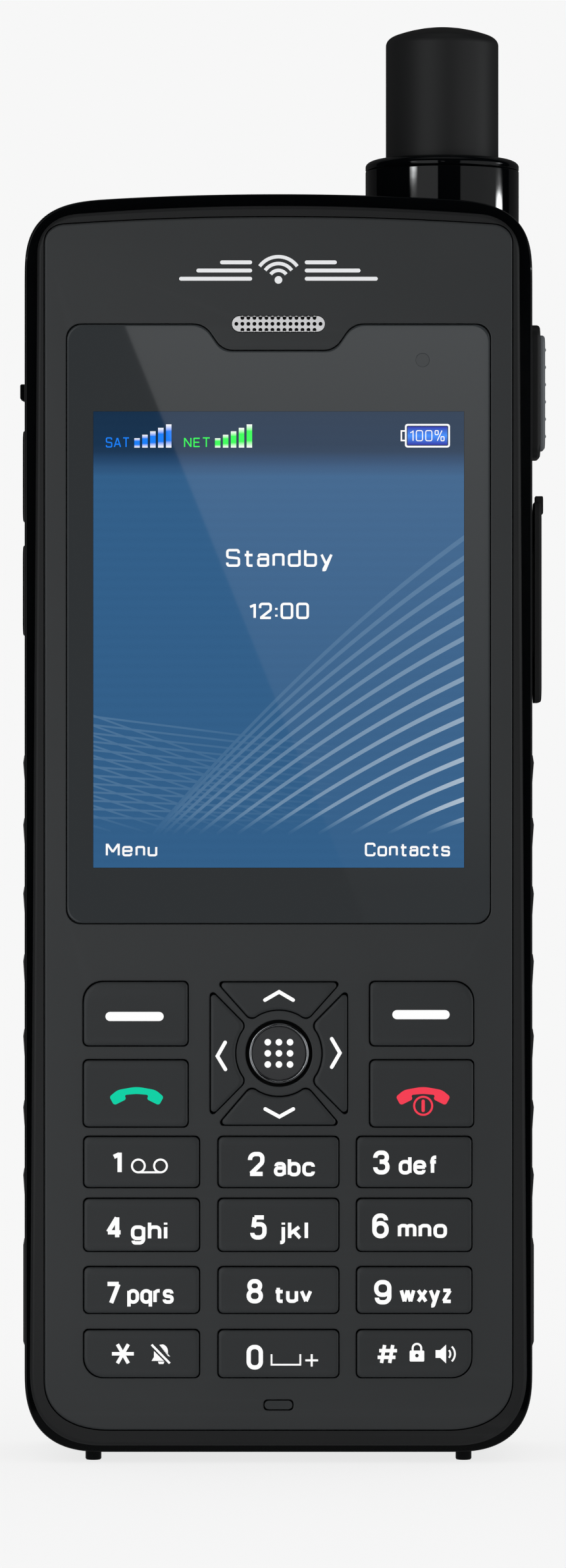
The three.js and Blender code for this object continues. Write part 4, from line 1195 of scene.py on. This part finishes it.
def lock_and_speaker(legend):
    legend.shape(rounded(box_corners(-0.5, 1.1, -0.85, 0.35, 0.12)), [circle(0.2, (0.3, -0.2), 16)])
    shackle = [(-0.17, 0.33)] + arc((0.3, 0.62), 0.47, 180, 0, 10) + [(0.77, 0.33)]
    legend.stroke(shackle, 0.22, False)
    legend.shape([(2.35, -0.45), (2.85, -0.45), (3.5, -1.05), (3.5, 1.0), (2.85, 0.4), (2.35, 0.4)])
    legend.stroke(arc((3.35, -0.02), 0.62, -42, 42, 8), 0.2, False)
    legend.stroke(arc((3.35, -0.02), 1.12, -46, 46, 10), 0.2, False)


# Text, left, right, low and high from the key's middle, and the icons drawn after the text.
LEGENDS = {
    "key_1": ([("1", -3.27, -2.17, -1.33, 1.27)], [messages]),
    "key_2": ([("2", -3.35, -1.5, -1.53, 1.12), ("abc", -0.5, 4.0, -1.56, 0.5)], []),
    "key_3": ([("3", -4.5, -2.7, -1.36, 1.27), ("def", -1.7, 2.6, -1.36, 0.72)], []),
    "key_4": ([("4", -3.93, -2.07, -1.58, 1.07), ("ghi", -1.17, 2.83, -2.15, 0.45)], []),
    "key_5": ([("5", -3.1, -1.3, -1.6, 1.07), ("jkl", 0.0, 3.25, -2.1, 0.45)], []),
    "key_6": ([("6", -4.6, -2.8, -1.46, 1.27), ("mno", -1.8, 3.6, -1.42, 0.12)], []),
    "key_7": ([("7", -3.97, -2.27, -1.63, 0.92), ("pqrs", -1.57, 3.53, -1.98, 0.12)], []),
    "key_8": ([("8", -3.5, -1.7, -1.45, 1.22), ("tuv", -0.5, 3.7, -1.4, 0.45)], []),
    "key_9": ([("9", -4.4, -2.5, -1.56, 1.12), ("wxyz", -1.6, 4.2, -1.9, 0.17)], []),
    "key_0": ([("0", -3.5, -1.7, -1.73, 0.98)], [space_and_plus]),
    "key_hash": ([("#", -4.2, -1.7, -1.2, 1.15)], [lock_and_speaker]),
    "key_star": ([], [star, muted_bell]),
}
SOFT_BARS = {"soft_key_left": (-3.32, 3.08, -0.3), "soft_key_right": (-3.23, 3.07, -0.1)}
CHEVRONS = {"nav_up": ((-1.53, 5.85), (0.02, 6.75), (1.56, 5.85)),
            "nav_down": ((1.58, -6.1), (0.05, -6.95), (-1.5, -6.1)),
            "nav_left": ((-5.87, -1.75), (-6.75, -0.3), (-5.9, 1.2)),
            "nav_right": ((5.8, 1.6), (6.7, 0.05), (5.8, -1.5))}


def receiver(x, z):
    """A lifted telephone receiver seen from the side, hung from the point x, z of its top."""
    half = [(2.1, -0.36, 1.6), (2.98, -1.1, 0.3), (2.47, -2.04, 0.3), (1.1, -1.36, 0.3), (1.36, -0.9, 0.3)]
    right = [(x + u, z + v, r) for u, v, r in half[::-1]]
    left = [(x - u, z + v, r) for u, v, r in half]
    return rounded([(x, z - 0.78, 3.0), *right, (x, z + 0.02, 4.0), *left])


def draw_end(legend):
    legend.shape(receiver(0.15, 0.74))
    legend.ring((0.16, -1.35), 1.1, 0.22)
    legend.stroke([(0.16, -0.84), (0.16, -1.86)], 0.36)


def draw_menu_dots(legend):
    """A plain grid of nine dots."""
    for row in (-1, 0, 1):
        for column in (-1, 0, 1):
            legend.shape(circle(0.36, (column * 1.22, row * 1.22), 28))


def print_keys():
    for name, (texts, icons) in LEGENDS.items():
        def draw(legend):
            for text, *box in texts:
                legend.text(text, *box, DIGIT_PEN if text.isdigit() else LETTER_PEN)
            for icon in icons:
                icon(legend)
        key_legend(name, draw)
    key_legend("call_key", lambda legend: legend.shape(receiver(0.1, 0.74)), INK_CALL)
    key_legend("end_key", draw_end, INK_END)
    for name, (left, right, z) in SOFT_BARS.items():
        key_legend(name, lambda legend: legend.stroke([(left + 0.5, z), (right - 0.5, z)], 1.0))
    for name, points in CHEVRONS.items():
        key_legend(name, lambda legend: legend.stroke(points, 0.4), middle=centre("nav_ring"))
    key_legend("nav_centre", draw_menu_dots)


def print_emblem():
    """A plain mark above the earpiece: waves over a dot, between two pairs of rules."""
    mark = Print((0, EMBLEM_Z), span("face_panel").y0 - PRINT)
    dot = (0, -1.08)
    mark.shape(circle(0.42, dot, 24))
    for radius in (1.05, 1.8, 2.55):
        mark.stroke(arc(dot, radius, 36, 144, 18), 0.38, False)
    for side in (-1, 1):
        for height, reach in ((0.85, 6.2), (-0.05, 8.8), (-0.95, 10.7)):
            ends = sorted((side * 3.1, side * reach))
            mark.stroke([(end, height) for end in ends], 0.42)
    piece("emblem", mark.solid, EMBLEM_INK, "handset", sharp=30)


METER_FOOT = -3.98           # signal meters: foot below the screen's top, bar pitch, width and heights
METER_PITCH = 0.87
METER_BAR = 0.6
METER_FIRST = 1.03
METER_RISE = 0.38
WHITE, BLUE, GREEN = (1.0, 1.0, 1.0), linear("#1f84ff")[:3], linear("#2fff55")[:3]
# Name, first bar's left edge from the screen's left, and colour.
METERS = (("screen_meter_1", 4.52, BLUE), ("screen_meter_2", 13.38, GREEN))
# Name, text, left, right, low and high, colour and pen width. Heights are from the screen's foot, or
# from its head where they are below zero.
TEXTS = (("screen_label_1", "SAT", 1.39, 4.0, -3.97, -2.85, BLUE, 0.13),
         ("screen_label_2", "NET", 9.98, 12.87, -3.97, -2.85, GREEN, 0.13),
         ("screen_state", "Standby", 14.6, 26.3, 32.55, 35.0, WHITE, 0.27),
         ("screen_clock", "12:00", 17.1, 23.7, 27.3, 29.1, WHITE, 0.27),
         ("screen_soft_left", "Menu", 1.39, 7.04, 1.26, 2.76, WHITE, 0.23),
         ("screen_soft_right", "Contacts", 29.84, 39.19, 1.26, 2.76, WHITE, 0.23),
         ("screen_battery_text", "100%", 34.78, 38.59, -3.28, -2.06, WHITE, 0.1))
# The battery's case and the room inside it (left, right, low, high and corner), then its charge
# (left, right, low and high) and the height of the charge's lightest line.
BATTERY_CASE = (34.24, 39.19, -3.97, -1.38, 0.3)
BATTERY_ROOM = (34.43, 39.0, -3.78, -1.57, 0.16)
BATTERY_CHARGE = (34.53, 38.9, -3.68, -1.67)
CHARGE_MIDDLE = -2.67
CHARGE_ROWS = 8


def print_meter(name, start, colour, corner, front):
    """Five rising bars whose middles are coloured and whose ends are white."""
    bars = Print(corner, front)
    for i in range(5):
        x = start + METER_PITCH * i
        tall = METER_FIRST + METER_RISE * i
        for a, b in ((0, 0.3), (0.3, 0.7), (0.7, 1)):
            bars.shape(rounded(box_corners(x, x + METER_BAR, METER_FOOT + tall * a, METER_FOOT + tall * b)))

    def tone(x, z):
        bar = max(0, min(4, int((x - corner[0] - start + 0.1) / METER_PITCH)))
        share = (z - corner[1] - METER_FOOT) / (METER_FIRST + METER_RISE * bar)
        return colour if 0.2 < share < 0.8 else WHITE
    lit(name, bars.solid, tone, sharp=30)


def print_screen():
    """What the display says: two signal meters, a battery, a state, the time and two soft labels."""
    left, _, low, high = screen_box()
    front = SCREEN_FRONT - SCREEN_LAYER * 4
    for name, start, colour in METERS:
        print_meter(name, start, colour, (left, high), front)
    for name, text, x0, x1, z0, z1, colour, pen in TEXTS:
        words = Print((left, high if z0 < 0 else low), front)
        words.text(text, x0, x1, z0, z1, pen, 0.6)
        lit(name, words.solid, lambda x, z: colour, sharp=30)
    case = Print((left, high), front)
    case.shape(rounded(box_corners(*BATTERY_CASE)), [rounded(box_corners(*BATTERY_ROOM))])
    case.stroke([(34.24, -2.15), (33.85, -2.15), (33.85, -3.2), (34.24, -3.2)], 0.16, False)
    lit("screen_battery_case", case.solid, lambda x, z: WHITE, sharp=30)
    charge = Print((left, high), front + SCREEN_LAYER)
    x0, x1, foot, head = BATTERY_CHARGE
    levels = [foot + (head - foot) * i / CHARGE_ROWS for i in range(CHARGE_ROWS + 1)]
    for a, b in zip(levels, levels[1:]):
        charge.shape(rounded(box_corners(x0, x1, a, b)))
    middle = high + CHARGE_MIDDLE
    lit("screen_battery_charge", charge.solid,
        lambda x, z: between("#3c90ff", "#1c1ca8", min(1.0, abs(z - middle))), sharp=30)


# ---------------------------------------------------------------- housings

def cuboid(x0, x1, y0, y1, z0, z1):
    return box_plate(x0, x1, z0, z1, 0, y0, y1)


def flank_corners(node, extra=0.0):
    """A flank node's outline seen from its own side, grown by extra."""
    box = span(node)
    side, corner = FLANK_NODES[node]
    ends = (box.y0, box.y1) if side == "right" else (-box.y1, -box.y0)
    return grow(box_corners(*ends, box.z0, box.z1, corner), extra)


def antenna_passage():
    """The clearance for the antenna's collar through the tops of the housings."""
    box = span("antenna_collar")
    radius = (box.x1 - box.x0) / 2 + PASSAGE_GAP
    low, high = span("collar_cap").z0 - COLLAR_HEIGHT - 0.3, box.z1 + 20
    return Solid().lathe([(0, low), (radius, low), (radius, high), (0, high)], upright("antenna_collar"))


def make_band():
    gasket, bezel, flap, box = (span(name) for name in (
        "housing_gasket", "sos_bezel", "port_flap", "side_band"))
    front, back = gasket.y0 - 13.2, gasket.y0 - 0.3
    outside, inside = -40, -20          # depths of the tools that cut through a flank
    shell = Solid().slab(BAND, soft_edge(front, *BAND_EDGE, steps=8) + [(0, back)],
                         [lambda inset: BAND(WALL + inset)], [(0, front), (0, back)])
    cuts = [antenna_passage(),
            Solid("right").plate(rounded(flank_corners("sos_bezel", 0.12)), outside, -bezel.x0 + 0.4),
            box_plate(flap.y0, flap.y1, flap.z0 + 2.4, flap.z1 - 2.7, 1.0, outside, inside, "right")]
    cuts += [Solid("left").plate(rounded(flank_corners(name, 0.18)), outside, inside)
             for name in VOLUME_KEYS]
    hole = PEG_RADIUS + PEG_GAP
    cuts += [Solid().lathe([(0, -2), (hole, -2), (hole, 4), (0, 4)], upright(name), SMALL_ROUND)
             for name in PEGS]
    piece("side_band_shell", carved(shell, cuts), GLOSS, "handset", ["side_band"])
    plate = Solid().plate(BAND(WALL + 0.02), front + 6.4, front + 7.3)
    openings = [cuboid(12, 25.5, front + 5, front + 9, 82, 134)]
    piece("chassis_plate", carved(plate, openings), MOULDING, "handset")
    root = -box.x0 - 1.6
    corners = [(root, 115.4, 0), (-box.x0, 116.3, 0.15), (-box.x0, 117.9, 0.2), (root, 117.9, 0)]
    lug = Solid().plate(mirrored(rounded(corners)), front + 5.1, front + 8.3)
    piece("side_lug", lug, GLOSS, "handset")


def grip_strip(side):
    """The saw-toothed grip along one flank: each tooth is steep above and tapers away below."""
    half = span("rear_housing").x1 - GRIP_PROUD
    corners = [(half - 1, GRIP_FOOT, 0), (half + 0.1, GRIP_FOOT, 0),
               (half + GRIP_PROUD, GRIP_FOOT + 1.2, 0.6)]
    for i, top in enumerate(GRIP_TOPS):
        if i > 0:
            corners.append((half + 0.03, GRIP_TOPS[i - 1] + 0.12, 0))
        corners += [(half + GRIP_PROUD, top - 0.8, 0.5), (half + GRIP_PROUD * 0.75, top, 0.08)]
    corners.append((half - 1, GRIP_TOPS[-1] + 1.2, 0))
    points = rounded(corners)
    return Solid().plate(points if side > 0 else mirrored(points), 3.6, 9)


def door_corners(extra=0.0):
    box = span("battery_door")
    return grow(box_corners(box.x0, box.x1, box.z0, box.z1, 3.0), extra)


def make_rear():
    box, door, bay, sim, speaker = (span(name) for name in (
        "rear_housing", "battery_door", "battery_pack", "sim_socket", "loudspeaker"))
    wall_back = box.y1 - 2.0
    stations = [(WALL + 3 - 3 * math.sin(a), wall_back - 3 * (1 - math.cos(a))) for a in quarter(6)]
    stations += [(WALL, box.y0), (0, box.y0)]
    stations += soft_edge(box.y1, 4, 4, away=-1, steps=10)[::-1]
    top = bay.z1 + BAY_HEADROOM
    joins = [grip_strip(1), grip_strip(-1),
             cuboid(bay.x0 - 2.4, bay.x1 + 2.4, bay.y0 - 1.3, wall_back + 0.8, bay.z0 - 2.5, top + 2)]
    cuts = [cuboid(bay.x0 - 0.4, bay.x1 + 0.4, bay.y0 - 0.3, box.y1 + BEYOND, bay.z0 - 0.5, top),
            Solid().plate(rounded(door_corners(LOOSE)), door.y0 - LOOSE, box.y1 + BEYOND),
            antenna_passage(),
            cuboid(sim.x0 - 0.3, sim.x1 + 0.3, bay.y0 - 2, bay.y0 + 1, sim.z0 - 0.3, sim.z1 + 0.3)]
    for i in range(1, 5):
        spot = centre(f"case_screw_{i}")
        joins.append(disc(3, spot, box.y0 + 0.2, wall_back + 0.5))
        cuts.append(disc(1.25, spot, box.y0 - BEYOND, box.y1))
        cuts.append(disc(2.3, spot, span(f"case_screw_{i}").y1 - 1.7, box.y1 + BEYOND))
    for i in range(5):
        low = speaker.z0 + 2.4 + 2.2 * i
        cuts.append(box_plate(speaker.x0 + 2, speaker.x1 - 2, low, low + 1, 0.45,
                              wall_back - BEYOND, box.y1 + BEYOND))
    piece("rear_shell", carved(Solid().slab(REAR, stations), cuts, joins), RUGGED, "handset",
          ["rear_housing"])


def make_door():
    box, latch = span("battery_door"), span("battery_door_latch")
    x, z = centre("battery_door_latch")
    radius = (latch.x1 - latch.x0) / 2
    outside = -box.y1 - BEYOND
    cuts = [disc(radius + LOOSE, (-x, z), outside, -box.y0 + BEYOND, DISC_ROUND, "back")]
    cuts += [box_plate(-13, 13, low, low + 1.1, 0.5, outside, -box.y1 + 0.35, "back")
             for low in (14.4 + 2.3 * i for i in range(5))]
    door = Solid("back").slab(of_corners(mirrored(door_corners())), soft_slab(-box.y1, -box.y0, 0.6))
    piece("battery_door_cover", carved(door, cuts), RUGGED, "battery_door", ["battery_door"])
    lock = Solid("back").slab(of_circle(radius, (-x, z), DISC_ROUND), soft_slab(-latch.y1, -latch.y0, 0.3))
    slot = box_plate(-x - 3.6, -x + 3.6, z - 0.6, z + 0.6, 0.5, -latch.y1 - BEYOND, -latch.y1 + 0.9, "back")
    piece("battery_door_lock", carved(lock, [slot]), STEEL, "battery_door_latch",
          ["battery_door_latch"])


def make_screws():
    for i in range(1, 5):
        name = f"case_screw_{i}"
        box = span(name)
        x, z = centre(name)
        top = -box.y1
        head = Solid("back").slab(of_circle(2.0, (-x, z), 40), soft_slab(top, top + 1.4, 0.35))
        socket = disc(1.0, (-x, z), top - BEYOND, top + 0.8, 6, "back")
        shank = disc(1.0, (-x, z), top + 1.3, -box.y0, side="back")
        piece(name + "_machine", carved(head, [socket], [shank]), STEEL, "handset", [name])


# ---------------------------------------------------------------- flanks and feet

def make_alert_key():
    bezel, key = span("sos_bezel"), span("sos_key")
    ring = Solid("right").slab(
        of_corners(flank_corners("sos_bezel")), soft_slab(-bezel.x1, -bezel.x0, 0.4),
        [of_corners(flank_corners("sos_key", 0.15))], lip(-bezel.x1, 0.12) + [(0, -bezel.x0)])
    piece("sos_key_bezel", ring, SATIN, "handset", ["sos_bezel"])
    nub, nub_tall = 0.3, 0.18
    cap = Solid("right").slab(of_corners(flank_corners("sos_key")),
                              soft_slab(-key.x1 + nub_tall, -key.x0, 0.35))
    dome = [(nub * (1 - math.sin(a)), -key.x1 + nub * (1 - math.cos(a)))
            for a in (math.pi / 2 * (i + 0.5) / 5 for i in range(5))]
    for i in range(6):
        spot = ((key.y0 + key.y1) / 2, key.z0 + 1.6 + 1.92 * i)
        cap.slab(of_circle(nub, spot, 20), dome + [(0, -key.x1 + 0.5)])
    piece("sos_key_cap", cap, ALERT, "sos_key", ["sos_key"])


def make_volume_keys():
    for name in VOLUME_KEYS:
        box = span(name)
        cap = Solid("left").slab(of_corners(flank_corners(name)), soft_slab(box.x0, box.x1, 0.3))
        piece(name + "_cap", cap, RUBBER, name, [name])


def make_port_flap():
    box = span("port_flap")
    low, high, tab = box.z0, box.z1 - 0.7, box.z1
    outer = box.x1 - 0.23
    middle = (box.y0 + box.y1) / 2
    flap = Solid("right").slab(of_corners(box_corners(box.y0, box.y1, low, high, 1.2)),
                               soft_slab(-outer, -outer + 0.77, 0.35))
    plug = grow(box_corners(box.y0, box.y1, low + 4.4, high - 4.2, 0.8), -0.7)
    flap.slab(of_corners(plug), soft_slab(-outer + 0.5, -box.x0, 0.1, 0.2))
    flap.slab(of_corners(box_corners(middle - 2, middle + 2, tab - 2.0, tab, 0.3)),
              soft_slab(-box.x1, -outer + 0.6, 0.15))
    piece("port_flap_rubber", flap, RUBBER, "port_flap", ["port_flap"])


def make_pegs():
    for name in PEGS:
        box = span(name)
        under = box.z1 - 0.8
        profile = [(0, box.z0)] + [(PEG_RADIUS - PEG_TIP + PEG_TIP * math.sin(a),
                                    box.z0 + PEG_TIP * (1 - math.cos(a))) for a in quarter(4)]
        profile += [(PEG_RADIUS, under), (PEG_HEAD, under), (PEG_HEAD, box.z1), (0, box.z1)]
        piece(name + "_pin", Solid().lathe(profile, upright(name), SMALL_ROUND), GLOSS, "handset",
              [name])


# ---------------------------------------------------------------- antenna

def shoulder(radius, height, reach, rise, steps=6):
    """Points of a rounded shoulder, from the wall at (radius, height - rise) in to the top."""
    return [(radius - reach * (1 - math.cos(a)), height - rise * (1 - math.sin(a))) for a in quarter(steps)]


def turned(name, profile, material, body, node):
    """A piece turned about the antenna's axis."""
    piece(name, Solid().lathe(profile, upright("antenna_collar")), material, body, [node], sharp=50)


def make_antenna():
    collar, cap, mast = span("antenna_collar"), span("collar_cap"), span("antenna_mast")
    outer = (collar.x1 - collar.x0) / 2
    bore = outer - COLLAR_WALL
    step = collar.z1 - COLLAR_HEIGHT + 0.2
    seam = collar.z1 + 0.05
    profile = [(bore, collar.z0), (bore + 0.47, collar.z0), (bore + 0.47, step), (outer - 0.3, step),
               (outer, step + 0.3)] + shoulder(outer, seam, 0.12, 0.1) + [(bore, seam)]
    turned("antenna_collar_shell", seated(profile), GLOSS, "handset", "antenna_collar")
    low = seam + SEAM
    profile = [(bore, low), (outer - 0.08, low), (outer, low + 0.08)]
    profile += shoulder(outer, cap.z1, 1.7, 0.8, 9) + [(bore + 0.12, cap.z1), (bore, cap.z1 - 0.12)]
    turned("collar_cap_ring", profile, GLOSS, "handset", "collar_cap")
    radius, flange = bore - 0.15, (mast.x1 - mast.x0) / 2
    inner = radius - 1.2
    rim = radius - 1.1
    rim_height = mast.z1 - DOME_FALL * rim * rim
    corner = rim_height - 2 * DOME_FALL * rim * (radius - rim)
    profile = [(0, mast.z1 - 3), (inner, mast.z1 - 4), (inner, mast.z0), (flange, mast.z0),
               (flange, mast.z0 + 2), (radius, mast.z0 + 2)]
    profile += [bezier((radius, corner - 0.8), (radius, corner), (rim, rim_height), i / 8) for i in range(9)]
    profile += [(rim * share, mast.z1 - DOME_FALL * (rim * share) ** 2)
                for share in (0.85, 0.7, 0.5, 0.3, 0.12)]
    profile.append((0, mast.z1))
    turned("antenna_mast_skin", seated(profile), MAST, "antenna", "antenna_mast")


INSIDES = {
    "lcd_module": MOULDING, "earpiece_speaker": MOULDING, "microphone": STEEL, "keypad_mat": RUBBER,
    "dome_sheet": STEEL, "housing_gasket": RUBBER, "usb_socket": STEEL, "headset_jack": MOULDING,
    "antenna_core": BRASS, "main_board": BOARD, "shield_can": STEEL, "loudspeaker": MOULDING,
    "vibration_motor": STEEL, "battery_pack": BATTERY, "battery_contacts": BRASS, "sim_socket": STEEL,
}


def dress_insides():
    """Materials and softened edges for the CAD nodes that are shown as they are."""
    for name, material in INSIDES.items():
        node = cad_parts[name]
        node.data.materials.clear()
        node.data.materials.append(material)
        bevel = node.modifiers.new("soft_edges", "BEVEL")
        bevel.width = 0.12 * MM
        bevel.segments = 2
        bevel.limit_method = "ANGLE"
        bevel.angle_limit = math.radians(50)


for make in (make_camera, make_world, make_floor, make_cards, make_sheen_card, make_panel, make_frame,
             make_keys, make_nav_centre, make_grille, make_display, make_screen_lines, print_keys,
             print_emblem, print_screen, make_band, make_rear, make_door, make_screws, make_alert_key,
             make_volume_keys, make_port_flap, make_pegs, make_antenna, dress_insides):
    make()
bpy.context.scene.view_settings.view_transform = "Standard"
